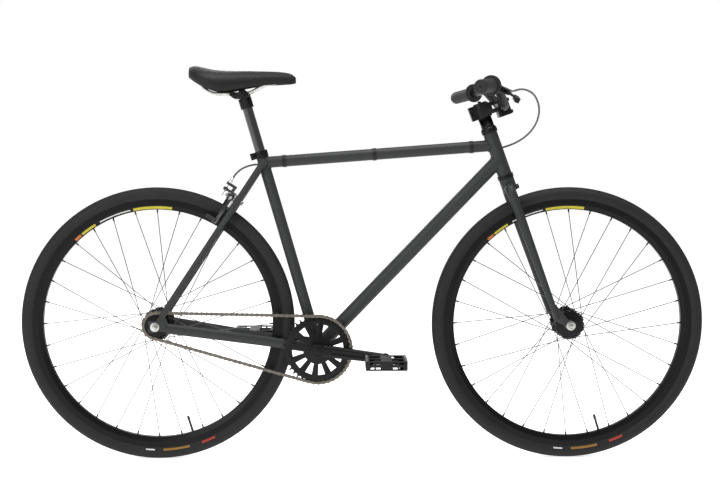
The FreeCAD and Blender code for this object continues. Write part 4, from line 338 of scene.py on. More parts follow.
finish = {
    "frame_paint": new_finish(
        "matte_charcoal_paint", (0.019, 0.020, 0.020), rough=(0.46, 0.60), grain=1400, lift=0.12,
        drift=0.86, wear=0.5, wear_and_sheen_colour=(0.07, 0.07, 0.07), Specular_IOR_Level=0.32),
    "black_alloy": new_finish(
        "black_anodised_alloy", (0.0042, 0.0042, 0.0044), rough=(0.28, 0.42), grain=2600, lift=0.08,
        wear=0.7, wear_and_sheen_colour=(0.05, 0.05, 0.05), Specular_IOR_Level=0.17),
    "spoke_steel": new_finish(
        "drawn_spoke_steel", (0.10, 0.10, 0.10), metal=1.0, rough=(0.26, 0.40), grain=900, drift=0.75),
    "black_brass": new_finish("blackened_brass", (0.016, 0.016, 0.017), metal=0.3, rough=(0.35, 0.5)),
    "tube_rubber": new_finish("butyl_rubber", (0.014, 0.014, 0.014), rough=(0.6, 0.75), grain=1200),
    "steel": new_finish(
        "zinc_plated_steel", (0.52, 0.52, 0.50), metal=1.0, rough=(0.24, 0.40), grain=1800, lift=0.1,
        drift=0.7, drift_scale=120, wear=0.4, wear_and_sheen_colour=(0.7, 0.7, 0.68)),
    "bright_alloy": new_finish(
        "polished_alloy", (0.62, 0.62, 0.62), metal=1.0, rough=(0.18, 0.32), grain=2200),
    "chain_steel": new_finish(
        "oiled_chain_steel", (0.17, 0.155, 0.13), metal=1.0, rough=(0.30, 0.52), grain=1600, lift=0.1,
        drift=0.6, drift_scale=260, wear=0.6, wear_and_sheen_colour=(0.42, 0.40, 0.36)),
    "black_steel": new_finish(
        "black_oxide_steel", (0.0040, 0.0040, 0.0042), rough=(0.30, 0.44), grain=2400, drift=0.9, wear=0.7,
        wear_and_sheen_colour=(0.08, 0.08, 0.08), Specular_IOR_Level=0.17),
    "black_plastic": new_finish(
        "moulded_nylon", (0.0065, 0.0065, 0.0065), rough=(0.42, 0.6), grain=1900, lift=0.22, wear=0.4,
        wear_and_sheen_colour=(0.04, 0.04, 0.04), Specular_IOR_Level=0.25),
    "housing_plastic": new_finish("housing_jacket", (0.075, 0.075, 0.075), rough=(0.30, 0.42), grain=1100),
    "saddle_cover": new_finish(
        "saddle_synthetic_leather", (0.0075, 0.0075, 0.0072), rough=(0.46, 0.64), grain=1300, lift=0.35,
        drift=0.85, drift_scale=30, Specular_IOR_Level=0.22),
    "thread": new_finish("saddle_thread", (0.030, 0.030, 0.030), rough=(0.7, 0.85), grain=4200, lift=0.4),
    "grip_rubber": new_finish(
        "grip_rubber", (0.014, 0.014, 0.014), rough=(0.55, 0.72), grain=1700, lift=0.3,
        Specular_IOR_Level=0.32),
    # Pale grey at full amount on marked edges: partly bright worn edges, partly a painted highlight along the
    # brake arms' edges. The seat post carries no edge mark, so none of it lands there.
    "polished_black": new_finish(
        "polished_black_alloy", (0.0060, 0.0060, 0.0062), rough=(0.14, 0.24), grain=2600, lift=0.04,
        wear=1.0, wear_and_sheen_colour=(0.42, 0.42, 0.42), Specular_IOR_Level=1.0),
    "pad_rubber": new_finish(
        "brake_pad_rubber", (0.012, 0.012, 0.012), rough=(0.6, 0.8), grain=1000, lift=0.3),
}
print("finishes", sorted(finish))

# %% [markdown]
# Rims and tyres carry plain coloured bands, so each wheel needs a finish centred on its own axle. A Mapping
# node shifts the coordinates there, and the band group turns them into angle and radius. The bands are bare
# colour.

# %% Wheel finishes
AXLES = {"front": Vector((0.520, 0, 0.346)), "rear": Vector((-0.520, 0, 0.346))}
YELLOW = (0.42, 0.36, 0.03)
WHITE = (0.55, 0.55, 0.53)
ORANGE = (0.42, 0.12, 0.03)
OCHRE = (0.22, 0.11, 0.02)
RED = (0.30, 0.03, 0.02)
RIM_BANDS = (
    (0.2920, 0.2985, 92, 9.5, YELLOW),
    (0.2940, 0.2968, 111, 8.0, WHITE),
    (0.2925, 0.2980, 125.5, 4.0, YELLOW),
    (0.2920, 0.2985, 132, 1.8, ORANGE),
)
TYRE_BANDS = (
    (0.3200, 0.3230, -94, 2.0, WHITE),
    (0.3190, 0.3240, -82, 6.0, OCHRE),
    (0.3190, 0.3240, -67, 3.2, RED),
)


def add_bands(material, axle, bands):
    """Coloured bands round an axle, between two radii, about an angle in degrees."""
    tree = material.node_tree
    shader = tree.nodes["Principled BSDF"]
    centred = tree.nodes.new("ShaderNodeMapping")
    centred.inputs["Location"].default_value = -axle
    tree.links.new(tree.nodes.new("ShaderNodeTexCoord").outputs["Object"], centred.inputs["Vector"])
    tint = shader.inputs["Base Color"].links[0].from_socket
    for inner, outer, middle, half, colour in bands:
        mask = group_node(tree, band_group, centred.outputs["Vector"], Inner=inner, Outer=outer,
                          Middle=math.radians(middle), Half=math.radians(half))
        tint = layer(tree, tint, mask, colour)
    tree.links.new(tint, shader.inputs["Base Color"])
    return material


wheel_finish = {}
for wheel, axle in AXLES.items():
    rim = new_finish(wheel + "_black_rim", (0.0030, 0.0030, 0.0030), rough=(0.30, 0.46), grain=2000,
                     lift=0.06, Specular_IOR_Level=0.15)
    tyre = new_finish(wheel + "_tyre_rubber", (0.0100, 0.0102, 0.0105), rough=(0.62, 0.8), grain=1500,
                      lift=0.3, Specular_IOR_Level=0.28)
    wheel_finish[wheel, "rim"] = add_bands(rim, axle, RIM_BANDS)
    wheel_finish[wheel, "tyre"] = add_bands(tyre, axle, TYRE_BANDS)
print("wheel finishes", len(wheel_finish))

# %% [markdown]
# Most CAD nodes have the right shape and only need their finish. The record names a material slot for each
# node, so the finish is looked up by that slot. Rims take the finish of their own wheel, and the brake arms
# and the seat post a polished black.

# %% Dress the CAD nodes
OWN_FINISH = {node: "polished_black" for node in ("left_brake_arm", "right_brake_arm", "seat_post")}
slot_of_node = {entry["node"]: entry["material_slot"] for entry in frame["record"]["subparts"]}


def finish_for(node):
    """The finish of a node's wheel, or its own, or the one of its slot."""
    wheel, _, piece = node.partition("_")
    return wheel_finish.get((wheel, piece)) or finish[OWN_FINISH.get(node) or slot_of_node[node]]


def put_on(piece, material):
    """Give a piece one material and no other."""
    piece.data.materials.clear()
    piece.data.materials.append(material)


for node, solid in nodes.items():
    put_on(solid, finish_for(node))
print("dressed", len(nodes), "nodes")

# %% [markdown]
# The brake housing is one long jacketed tube: a loop in the air from the lever to the first clip, then a
# run under the top tube to the caliper. A NURBS spline along its route gives a smooth line. The loop is
# left as a plain mesh on no body, though the real housing bends between steering and frame when the bar
# turns.

# %% Brake housing
HOUSING_RADIUS = 0.0025
FRONT_ROUTE = (
    (0.3536, -0.1303, 0.9258), (0.3605, -0.1094, 0.9274), (0.3890, -0.0850, 0.9360),
    (0.4180, -0.0660, 0.9260), (0.4340, -0.0450, 0.9040), (0.4410, -0.0220, 0.8800),
    (0.4370, -0.0020, 0.8530), (0.4210, 0.0130, 0.8270), (0.3940, 0.0230, 0.8060),
    (0.3610, 0.0275, 0.7930), (0.3280, 0.0250, 0.7860), (0.29805, 0.01302, 0.78265),
    (0.2781, 0.01302, 0.78117),
)
REAR_ROUTE = (
    (0.2781, 0.01302, 0.78117), (-0.1908, 0.01302, 0.74642), (-0.22258, 0.01302, 0.74407),
    (-0.2460, 0.0345, 0.7500), (-0.2860, 0.0370, 0.7485), (-0.31875, 0.0330, 0.73371),
    (-0.33067, 0.0330, 0.71558),
)
SPLINE_STEPS = 14
HOUSING_ROUNDNESS = 3
HOUSING_CREASE = 40


def take(piece):
    """Make one piece the only selected and active one."""
    deselect_all()
    piece.select_set(True)
    bpy.context.view_layer.objects.active = piece


def spline_through(name, route, thickness):
    """A NURBS curve with the route's points as its control points."""
    line = bpy.data.curves.new(name, "CURVE")
    line.dimensions = "3D"
    line.resolution_u = SPLINE_STEPS
    spline = line.splines.new("NURBS")
    spline.points.add(len(route) - 1)
    for point, place in zip(spline.points, route):
        point.co = (*place, 1)
    spline.order_u = 3
    spline.use_endpoint_u = True
    line.bevel_depth = thickness
    line.bevel_resolution = HOUSING_ROUNDNESS
    line.use_fill_caps = thickness > 0
    piece = bpy.data.objects.new(name, line)
    bpy.context.scene.collection.objects.link(piece)
    return piece


def read_path(name, route):
    """The points along the spline, read from it without its thickness."""
    bare = spline_through(name, route, 0)
    mesh = bpy.data.meshes.new_from_object(bare)
    path = [vertex.co.copy() for vertex in mesh.vertices]
    bpy.data.objects.remove(bare)
    bpy.data.meshes.remove(mesh)
    return path


def path_length(path):
    """How long a path is, added up from point to point."""
    return sum((after - before).length for before, after in zip(path, path[1:]))


def tube_on(name, route):
    """The housing along a route, as a mesh."""
    piece = spline_through(name, route, HOUSING_RADIUS)
    take(piece)
    bpy.ops.object.convert(target="MESH")
    piece = bpy.context.object
    bpy.ops.object.shade_smooth_by_angle(angle=math.radians(HOUSING_CREASE))
    return piece


loop_path = read_path("loop_line", FRONT_ROUTE)
front_loop = tube_on("front_housing_loop", FRONT_ROUTE)
put_on(front_loop, finish["housing_plastic"])
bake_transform(front_loop)
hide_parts("front_housing")

run_path = read_path("run_line", REAR_ROUTE)
rear_run = tube_on("rear_housing_run", REAR_ROUTE)
put_on(rear_run, finish["housing_plastic"])
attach(rear_run, "frame")
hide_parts("rear_housing")
print("housing loop", round(path_length(loop_path), 3), "m, run", round(path_length(run_path), 3), "m")

# %% [markdown]
# A tyre is a curved shell with a tread. Its outline is most of a circle with a short neck down to the
# beads: a circle is added at the top of the wheel, its low points are deleted, its open ends are drawn in
# to the neck and down to the beads, and the outline is spun round the axle. Solidify gives the wall, and
# every third patch of the crown is inset and pushed in for the fine tread.

# %% Tyres
TYRE_SECTION = 0.0175
SECTION_HEIGHT = 0.3285
TYRE_WALL = 0.0024
NECK_HALF = 0.0092
BEAD_HEIGHT = 0.3113
NECK_TOP = 0.3176
NECK_DROP = 0.0003
SAME_HEIGHT = 0.0001
MERGE_DISTANCE = 0.00005
OUTLINE_POINTS = 44
SPIN_STEPS = 216
TREAD_HALF_ANGLE = 52
TREAD_EVERY = 3
TREAD_MARGIN = 0.0005
TREAD_DEPTH = 0.0007
TREAD_CREASE = 28


def pick(piece, kind, wanted):
    """Select the vertices or faces of a piece that pass a test, and stay in edit mode."""
    take(piece)
    bpy.ops.object.mode_set(mode="EDIT")
    bpy.ops.mesh.select_mode(type=kind)
    bpy.ops.mesh.select_all(action="DESELECT")
    bpy.ops.object.mode_set(mode="OBJECT")
    for part in piece.data.vertices if kind == "VERT" else piece.data.polygons:
        part.select = bool(wanted(part))
    bpy.ops.object.mode_set(mode="EDIT")


def apply_modifier(piece, kind, **settings):
    """Add one modifier and apply it at once."""
    take(piece)
    modifier = piece.modifiers.new(kind.lower(), kind)
    for label, value in settings.items():
        setattr(modifier, label, value)
    bpy.ops.object.modifier_apply(modifier=modifier.name)


def settle(piece, name, body, slot, material, *stood_for):
    """Name a finished piece, give it its finish, and let it ride on its body."""
    take(piece)
    bpy.ops.object.transform_apply(location=True, rotation=True, scale=True)
    piece.name = piece.data.name = name
    put_on(piece, material)
    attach(piece, body)
    if stood_for:
        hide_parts(*stood_for)
    print(name, "has", len(piece.data.polygons), "faces")
    return piece


def copy_of(piece):
    """A copy with a mesh of its own."""
    twin = piece.copy()
    twin.data = piece.data.copy()
    bpy.context.scene.collection.objects.link(twin)
    return twin


deselect_all()
bpy.ops.mesh.primitive_circle_add(vertices=OUTLINE_POINTS, radius=TYRE_SECTION,
                                  location=(0, 0, SECTION_HEIGHT), rotation=(0, math.pi / 2, 0))
tyre = bpy.context.object
bpy.ops.object.transform_apply(location=True, rotation=True, scale=True)
pick(tyre, "VERT", lambda v: v.co.z < NECK_TOP and abs(v.co.y) < NECK_HALF)
bpy.ops.mesh.delete(type="VERT")
bpy.ops.object.mode_set(mode="OBJECT")
lowest = min(v.co.z for v in tyre.data.vertices)
for side in (-1, 1):
    pick(tyre, "VERT", lambda v: v.co.z < lowest + SAME_HEIGHT and v.co.y * side > 0)
    end = next(v.co.copy() for v in tyre.data.vertices if v.select)
    bpy.ops.mesh.extrude_region_move(
        TRANSFORM_OT_translate={"value": (0, side * NECK_HALF - end.y, NECK_TOP - NECK_DROP - end.z)})
    bpy.ops.mesh.extrude_region_move(TRANSFORM_OT_translate={"value": (0, 0, BEAD_HEIGHT - NECK_TOP)})
bpy.ops.mesh.select_all(action="SELECT")
bpy.ops.mesh.spin(steps=SPIN_STEPS, angle=2 * math.pi, center=(0, 0, 0), axis=(0, 1, 0))
bpy.ops.mesh.select_all(action="SELECT")
bpy.ops.mesh.remove_doubles(threshold=MERGE_DISTANCE)
bpy.ops.mesh.normals_make_consistent(inside=False)
bpy.ops.object.mode_set(mode="OBJECT")
apply_modifier(tyre, "SOLIDIFY", thickness=TYRE_WALL, offset=-1)


def tread_patch(face):
    """True for the outer faces of the crown that make a chevron of fine cuts."""
    centre = face.center
    radius = math.hypot(centre.x, centre.z)
    lean = math.degrees(math.atan2(centre.y, radius - SECTION_HEIGHT))
    reach = math.hypot(centre.y, radius - SECTION_HEIGHT)
    if abs(lean) > TREAD_HALF_ANGLE or reach < TYRE_SECTION - TYRE_WALL / 2:
        return False
    step = math.floor(math.atan2(centre.z, centre.x) / (2 * math.pi) * SPIN_STEPS)
    row = math.floor(abs(lean) / 360 * OUTLINE_POINTS)
    return (step + row) % TREAD_EVERY == 0


pick(tyre, "FACE", tread_patch)
bpy.ops.mesh.inset(thickness=TREAD_MARGIN, use_individual=True)
bpy.ops.transform.shrink_fatten(value=-TREAD_DEPTH)
bpy.ops.object.mode_set(mode="OBJECT")
bpy.ops.object.shade_smooth_by_angle(angle=math.radians(TREAD_CREASE))
for wheel, axle in AXLES.items():
    piece = copy_of(tyre)
    piece.location = axle
    settle(piece, wheel + "_tyre_treaded", wheel + "_wheel", slot_of_node[wheel + "_tyre"],
           wheel_finish[wheel, "tyre"], wheel + "_tyre")
bpy.data.objects.remove(tyre)

# %% [markdown]
# The saddle cover is synthetic leather pulled over foam. A flat grid is wrapped round the sections of the
# pad, from tail to nose, and a light cloth pressure swells it while its lower edge and its ends are held.
# The swell is capped, so the cover stays taut.

# %% Saddle cover
SADDLE_TAIL = -0.4352
SADDLE_LENGTH = 0.266
SADDLE_WIDTH = 0.150
SADDLE_DEPTH = 0.054
SKIRT_WIDTH_SHARE = 0.90
SHOULDER_WIDTH_SHARE = 0.82
CROWN_AT_TAIL = 0.25
SADDLE_SECTIONS = (
    (0.000, 0.17, 0.20, -0.06, 0.30), (0.055, 0.36, 0.25, 0.02, 0.50),
    (0.130, 0.46, 0.18, 0.08, 0.72), (0.220, 0.49, 0.08, 0.14, 0.88),
    (0.330, 0.44, 0.02, 0.18, 0.96), (0.450, 0.33, 0.00, 0.18, 0.86),
    (0.560, 0.235, 0.00, 0.17, 0.76), (0.680, 0.180, 0.00, 0.16, 0.68),
    (0.800, 0.150, -0.01, 0.17, 0.63), (0.900, 0.130, -0.05, 0.20, 0.60),
    (0.965, 0.095, -0.14, 0.26, 0.58), (1.000, 0.045, -0.28, 0.36, 0.54),
)
PAD_ALONG = 64
PAD_ROUND = 36
END_ROWS = (0.0, 0.5, 0.86)
PAD_PRESSURE = 4.0
PAD_STEPS = 20
PAD_SWELL_CAP = 0.0014
CLOTH_QUALITY = 6
SHOULDER_SHARE = 0.25
HELD_SHARE = 0.46


def section_value(along, column):
    """A value of the sections at a share of the length, on a smooth curve through the table."""
    for index in range(len(SADDLE_SECTIONS) - 1):
        before, after = SADDLE_SECTIONS[index], SADDLE_SECTIONS[index + 1]
        if along <= after[0]:
            break
    earlier = SADDLE_SECTIONS[max(index - 1, 0)]
    later = SADDLE_SECTIONS[min(index + 2, len(SADDLE_SECTIONS) - 1)]
    gap = after[0] - before[0]
    t = (along - before[0]) / gap
    slope_in = (after[column] - earlier[column]) / (after[0] - earlier[0]) * gap
    slope_out = (later[column] - before[column]) / (later[0] - before[0]) * gap
    rise = after[column] - before[column]
    return before[column] + t * (slope_in + t * (3 * rise - 2 * slope_in - slope_out
                                                 + t * (slope_in + slope_out - 2 * rise)))


def through(first, middle, last, t):
    """A curve from the first place to the last that passes the middle one half way."""
    bend = 2 * middle - (first + last) / 2
    return (1 - t) ** 2 * first + 2 * t * (1 - t) * bend + t * t * last


def section_place(along, round_share):
    """A place on the cover: from the left lower edge over the crown to the right lower edge."""
    half, crown, shoulder, skirt = (section_value(along, column) for column in (1, 2, 3, 4))
    side = 1 if round_share < 0.5 else -1
    t = min(round_share, 1 - round_share)
    half *= SADDLE_WIDTH
    low = Vector((side * half * SKIRT_WIDTH_SHARE, -skirt))
    high = Vector((side * half * SHOULDER_WIDTH_SHARE, -shoulder))
    if t < SHOULDER_SHARE:
        flat = through(low, Vector((side * half, -(skirt + shoulder) / 2)), high, t / SHOULDER_SHARE)
    else:
        over = (t - SHOULDER_SHARE) / (1 - 2 * SHOULDER_SHARE)
        flat = through(high, Vector((0, crown)), Vector((-high.x, high.y)), over)
    return Vector((SADDLE_TAIL + SADDLE_LENGTH * along, flat.x, saddle_top + SADDLE_DEPTH * flat.y))


def pad_place(row, round_share):
    """The place for a grid point. The first and last rows close the ends."""
    last = PAD_ALONG - row
    inner = PAD_ALONG - 2 * len(END_ROWS)
    along = min(max((row - len(END_ROWS)) / inner, 0), 1)
    place = section_place(along, round_share)
    end = min(row, last)
    if end < len(END_ROWS):
        middle = Vector((place.x, 0, saddle_top - SADDLE_DEPTH * section_value(along, 4)))
        place = middle.lerp(place, END_ROWS[end])
    return place


def swell(piece, group_name):
    """Blow a piece up gently with cloth pressure, held at one vertex group, and keep the capped shape."""
    start = [vertex.co.copy() for vertex in piece.data.vertices]
    cloth = piece.modifiers.new("cloth", "CLOTH")
    cloth.settings.quality = CLOTH_QUALITY
    cloth.settings.use_pressure = True
    cloth.settings.uniform_pressure_force = PAD_PRESSURE
    cloth.settings.vertex_group_mass = group_name
    cloth.settings.effector_weights.gravity = 0
    for moment in range(1, PAD_STEPS + 1):
        bpy.context.scene.frame_set(moment)
    blown = piece.evaluated_get(bpy.context.evaluated_depsgraph_get())
    ends = [vertex.co.copy() for vertex in blown.data.vertices]
    piece.modifiers.remove(cloth)
    bpy.context.scene.frame_set(1)
    moved = 0.0
    for vertex, before, after in zip(piece.data.vertices, start, ends):
        step = after - before
        if step.length > PAD_SWELL_CAP:
            step.length = PAD_SWELL_CAP
        vertex.co = before + step
        moved = max(moved, step.length)
    return moved


saddle_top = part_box("saddle_cover")[1][2] - CROWN_AT_TAIL * SADDLE_DEPTH
deselect_all()
bpy.ops.mesh.primitive_grid_add(x_subdivisions=PAD_ALONG, y_subdivisions=PAD_ROUND, size=1)
pad = bpy.context.object
kept = pad.vertex_groups.new(name="held")
sewn = pad.vertex_groups.new(name="seam")
for vertex in pad.data.vertices:
    row, round_share = round((vertex.co.x + 0.5) * PAD_ALONG), vertex.co.y + 0.5
    from_end = min(row, PAD_ALONG - row)
    from_crown = abs(round_share - 0.5)
    if from_end <= len(END_ROWS) or from_crown > HELD_SHARE:
        kept.add([vertex.index], 1.0, "REPLACE")
    if from_end >= len(END_ROWS) - 1 and abs(from_crown - SHOULDER_SHARE) < 0.5 / PAD_ROUND:
        sewn.add([vertex.index], 1.0, "REPLACE")
    vertex.co = pad_place(row, round_share)
take(pad)
bpy.ops.object.mode_set(mode="EDIT")
bpy.ops.mesh.select_all(action="SELECT")
bpy.ops.mesh.remove_doubles(threshold=MERGE_DISTANCE)
bpy.ops.mesh.normals_make_consistent(inside=False)
bpy.ops.object.mode_set(mode="OBJECT")
if max(pad.data.polygons, key=lambda face: face.center.z).normal.z < 0:
    bpy.ops.object.mode_set(mode="EDIT")
    bpy.ops.mesh.flip_normals()
    bpy.ops.object.mode_set(mode="OBJECT")
swollen = swell(pad, "held")
print("pad swelled by", round(1000 * swollen, 2), "mm,", len(pad.data.vertices), "points")

# %% [markdown]
# A seam joins the top panel to each side panel, along the shoulder. One column of the grid's edges is
# widened with a bevel and its middle is pressed in. Subdivision rounds the groove, and Solidify gives the
# foam its thickness inwards and closes the lower edge. A row of short stitches lies just above it, one
# small ellipsoid copied.

# %% Saddle seam and stitches
SEAM_WIDTH = 0.0013
SEAM_DEPTH = 0.0012
SEAM_SEGMENTS = 2
PAD_WALL = 0.0032
PAD_LEVELS = 2
PAD_CREASE = 50
STITCH_PITCH = 0.0050
STITCH_SIZE = (0.00165, 0.00042, 0.00042)
STITCH_SHARE = 0.234

take(pad)
pad.vertex_groups.active = pad.vertex_groups["seam"]
bpy.ops.object.mode_set(mode="EDIT")
bpy.ops.mesh.select_mode(type="VERT")
bpy.ops.mesh.select_all(action="DESELECT")
bpy.ops.object.vertex_group_select()
bpy.ops.mesh.bevel(offset=SEAM_WIDTH, segments=SEAM_SEGMENTS, affect="EDGES")
bpy.ops.mesh.select_less()
bpy.ops.transform.shrink_fatten(value=-SEAM_DEPTH)
bpy.ops.object.mode_set(mode="OBJECT")
pad.vertex_groups.clear()
apply_modifier(pad, "SUBSURF", levels=PAD_LEVELS, render_levels=PAD_LEVELS)
apply_modifier(pad, "SOLIDIFY", thickness=PAD_WALL, offset=-1)
bpy.ops.object.shade_smooth_by_angle(angle=math.radians(PAD_CREASE))
settle(pad, "saddle_pad", "seat", "saddle_cover", finish["saddle_cover"], "saddle_cover")

stitch_rows = range(len(END_ROWS) + 1, PAD_ALONG - len(END_ROWS))
stitch_lines = [[pad_place(row, 0.5 + side * STITCH_SHARE) for row in stitch_rows] for side in (-1, 1)]


def skin_of(piece):
    """A piece's faces, ready for rays and for finding the nearest place."""
    points = [vertex.co.copy() for vertex in piece.data.vertices]
    return BVHTree.FromPolygons(points, [face.vertices[:] for face in piece.data.polygons])


def places_along(path, pitch):
    """Evenly spaced places on a path, each with the direction of the path there."""
    places = []
    left_over = pitch / 2
    for before, after in zip(path, path[1:]):
        run = (after - before).length
        while left_over < run:
            places.append((before.lerp(after, left_over / run), (after - before).normalized()))
            left_over += pitch
        left_over -= run
    return places


def turned_to(place, along, out):
    """A matrix at a place, with X along one direction and Z near another."""
    side = out.cross(along).normalized()
    up = along.cross(side)
    return Matrix.Translation(place) @ Matrix((along, side, up)).transposed().to_4x4()


def join_pieces(pieces):
    """One piece made of several."""
    deselect_all()
    for piece in pieces:
        piece.select_set(True)
    bpy.context.view_layer.objects.active = pieces[0]
    bpy.ops.object.join()
    return bpy.context.object


deselect_all()
bpy.ops.mesh.primitive_ico_sphere_add(subdivisions=2, radius=1.0)
stitch = bpy.context.object
bpy.ops.object.mode_set(mode="EDIT")
bpy.ops.transform.resize(value=STITCH_SIZE)
bpy.ops.object.mode_set(mode="OBJECT")
bpy.ops.object.shade_smooth()
pad_skin = skin_of(pad)
stitches = []
for line in stitch_lines:
    for place, along in places_along(line, STITCH_PITCH):
        spot, out, _, _ = pad_skin.find_nearest(place)
        twin = copy_of(stitch)
        twin.data.transform(turned_to(spot, along, out))
        stitches.append(twin)
bpy.data.objects.remove(stitch)
print(len(stitches), "stitches")
settle(join_pieces(stitches), "saddle_stitches", "seat", "saddle_cover", finish["thread"])

# %% [markdown]
# Each grip is a moulded rubber sleeve with rings to hold on to, a wide flange at its inner end and a closed
# end. One point is drawn along the outline and spun round the bar, which is how such a sleeve is turned on
# a lathe.

# %% Grips
GRIP_LENGTH = 0.121
GRIP_BORE = 0.01125
GRIP_RADIUS = 0.0164
GRIP_GROOVE = 0.0011
GRIP_RINGS = 15
FIRST_RING = 0.0075
PLAIN_LENGTH = 0.018
FLANGE_RADIUS = 0.0244
GRIP_FLANGE = (
    (FLANGE_RADIUS - 0.0006, 0.0), (FLANGE_RADIUS, 0.0008), (FLANGE_RADIUS, 0.0036),
    (FLANGE_RADIUS - 0.0008, 0.0044), (GRIP_RADIUS + 0.0009, 0.0047), (GRIP_RADIUS, 0.0060),
)
GRIP_RING = (
    (GRIP_RADIUS, 0.0), (GRIP_RADIUS - GRIP_GROOVE, 0.0007), (GRIP_RADIUS - GRIP_GROOVE, 0.0016),
    (GRIP_RADIUS, 0.0023),
)
GRIP_CAP = (
    (GRIP_RADIUS, -0.0024), (GRIP_RADIUS - 0.0007, -0.0007), (GRIP_RADIUS - 0.0024, 0.0), (0.0122, 0.0),
    (0.0116, -0.0010), (0.0040, -0.0010), (0.0034, -0.0035), (0.0, -0.0035), (0.0, -0.0046),
    (GRIP_BORE, -0.0046),
)
GRIP_INNER_END = Vector((0.29908, -0.19016, 0.93753))
GRIP_OUT = Vector((-0.3138, -0.9469, -0.0703))
GRIP_CREASE = 35
LATHE_STEPS = 56
LATHE_MERGE = 0.00002
SEED_SIZE = 0.001


def lathe(outline, steps):
    """Spin an outline of (radius, height) points round Z into one closed skin."""
    deselect_all()
    bpy.ops.mesh.primitive_plane_add(size=SEED_SIZE)
    piece = bpy.context.object
    bpy.ops.object.mode_set(mode="EDIT")
    bpy.ops.mesh.select_mode(type="VERT")
    bpy.ops.mesh.select_all(action="SELECT")
    bpy.ops.mesh.merge(type="CENTER")
    bpy.ops.transform.translate(value=(outline[0][0], 0, outline[0][1]))
    for before, after in zip(outline, outline[1:]):
        bpy.ops.mesh.extrude_region_move(
            TRANSFORM_OT_translate={"value": (after[0] - before[0], 0, after[1] - before[1])})
    bpy.ops.mesh.select_all(action="SELECT")
    bpy.ops.mesh.spin(steps=steps, angle=2 * math.pi, center=(0, 0, 0), axis=(0, 0, 1))
    bpy.ops.mesh.select_all(action="SELECT")
    bpy.ops.mesh.remove_doubles(threshold=LATHE_MERGE)
    bpy.ops.mesh.normals_make_consistent(inside=False)
    bpy.ops.object.mode_set(mode="OBJECT")
    return piece


def standing_at(piece, place, up):
    """Stand a lathed piece at a place with its own Z along a direction."""
    piece.matrix_world = Matrix.Translation(place) @ up.to_track_quat("Z", "Y").to_matrix().to_4x4()


def raised(points, height):
    """The points of an outline, moved along the bar."""
    return [(radius, height + above) for radius, above in points]


ring_pitch = (GRIP_LENGTH - PLAIN_LENGTH) / GRIP_RINGS
grip_outline = [(GRIP_BORE, 0.0), *GRIP_FLANGE]
for ring_index in range(GRIP_RINGS):
    grip_outline += raised(GRIP_RING, FIRST_RING + ring_index * ring_pitch)
grip_outline += raised(GRIP_CAP, GRIP_LENGTH) + [(GRIP_BORE, 0.0)]
for side_name, sign in (("right", 1), ("left", -1)):
    grip = lathe(grip_outline, LATHE_STEPS)
    out = Vector((GRIP_OUT.x, sign * GRIP_OUT.y, GRIP_OUT.z))
    standing_at(grip, Vector((GRIP_INNER_END.x, sign * GRIP_INNER_END.y, GRIP_INNER_END.z)), out)
    take(grip)
    bpy.ops.object.shade_smooth_by_angle(angle=math.radians(GRIP_CREASE))
    settle(grip, side_name + "_ringed_grip", "steering", "grip_rubber", finish["grip_rubber"], "grips")

# %% [markdown]
# Forged and machined pieces never have a razor edge. A copy of each such CAD node has its flat facets
# joined and its corners rounded with the Bevel modifier. The bevel marks the new faces, and that mark
# becomes an attribute named edge, which the wear-and-sheen group reads to rub the finish thin there; on the
# brake arms the pale edge is also a painted highlight.

# %% Rounded edges
ROUNDED = {
    "stem_body": 0.0009, "stem_faceplate": 0.0007, "crank_arms": 0.0014, "brake_lever": 0.0007,
    "lever_bracket": 0.0006, "left_brake_arm": 0.0006, "right_brake_arm": 0.0006, "right_pedal": 0.0007,
    "left_pedal": 0.0007, "rear_dropouts": 0.0007, "fork_dropouts": 0.0007, "seat_clamp": 0.0006,
    "saddle_clamp": 0.0006, "chainring": 0.0004, "rear_cog": 0.0003, "headset_spacers": 0.0004,
    "headset_cups": 0.0005, "front_hub": 0.0004, "rear_hub": 0.0004, "crank_spindle": 0.0003,
    "rear_axle": 0.0003, "front_axle": 0.0003, "stem_bolts": 0.00025, "brake_pivot": 0.0003,
}
EDGE_ANGLE = 34
EDGE_SEGMENTS = 2
FLAT_ANGLE = 1.0
ROUNDED_CREASE = 30
CAD_MERGE = 0.000005


def own_copy(node, name):
    """A new object with a merged copy of a CAD node's mesh."""
    piece = bpy.data.objects.new(name, nodes[node].data.copy())
    bpy.context.scene.collection.objects.link(piece)
    take(piece)
    bpy.ops.object.mode_set(mode="EDIT")
    bpy.ops.mesh.select_all(action="SELECT")
    bpy.ops.mesh.remove_doubles(threshold=CAD_MERGE)
    bpy.ops.object.mode_set(mode="OBJECT")
    return piece


def mark_edges(piece):
    """Turn the faces that the bevel put in slot one into an attribute: one on an edge, nought elsewhere."""
    on_edge = [float(face.material_index == 1) for face in piece.data.polygons]
    piece.data.polygons.foreach_set("material_index", [0] * len(on_edge))
    mark = piece.data.attributes.new("edge", "FLOAT", "FACE")
    mark.data.foreach_set("value", on_edge)


def rounded(node, width):
    """Stand in a rounded copy for a node; its edges take wear, and on the brake arms a painted highlight."""
    piece = own_copy(node, node + "_rounded")
    bpy.ops.object.mode_set(mode="EDIT")
    bpy.ops.mesh.select_all(action="SELECT")
    bpy.ops.mesh.dissolve_limited(angle_limit=math.radians(FLAT_ANGLE))
    bpy.ops.object.mode_set(mode="OBJECT")
    put_on(piece, finish_for(node))
    piece.data.materials.append(finish_for(node))
    apply_modifier(piece, "BEVEL", width=width, segments=EDGE_SEGMENTS, limit_method="ANGLE",
                   angle_limit=math.radians(EDGE_ANGLE), use_clamp_overlap=True, material=1)
    mark_edges(piece)
    bpy.ops.object.shade_smooth_by_angle(angle=math.radians(ROUNDED_CREASE))
    settle(piece, node + "_rounded", body_of_node[node], slot_of_node[node], finish_for(node), node)


for node, width in ROUNDED.items():
    rounded(node, width)

# %% [markdown]
# The frame is welded, and a weld leaves a ripple bead where two tubes meet. Each bead is found by looking
# down the lines of one tube on to the other with a ray, and a thin tube with swelling thickness is laid
# along those places.

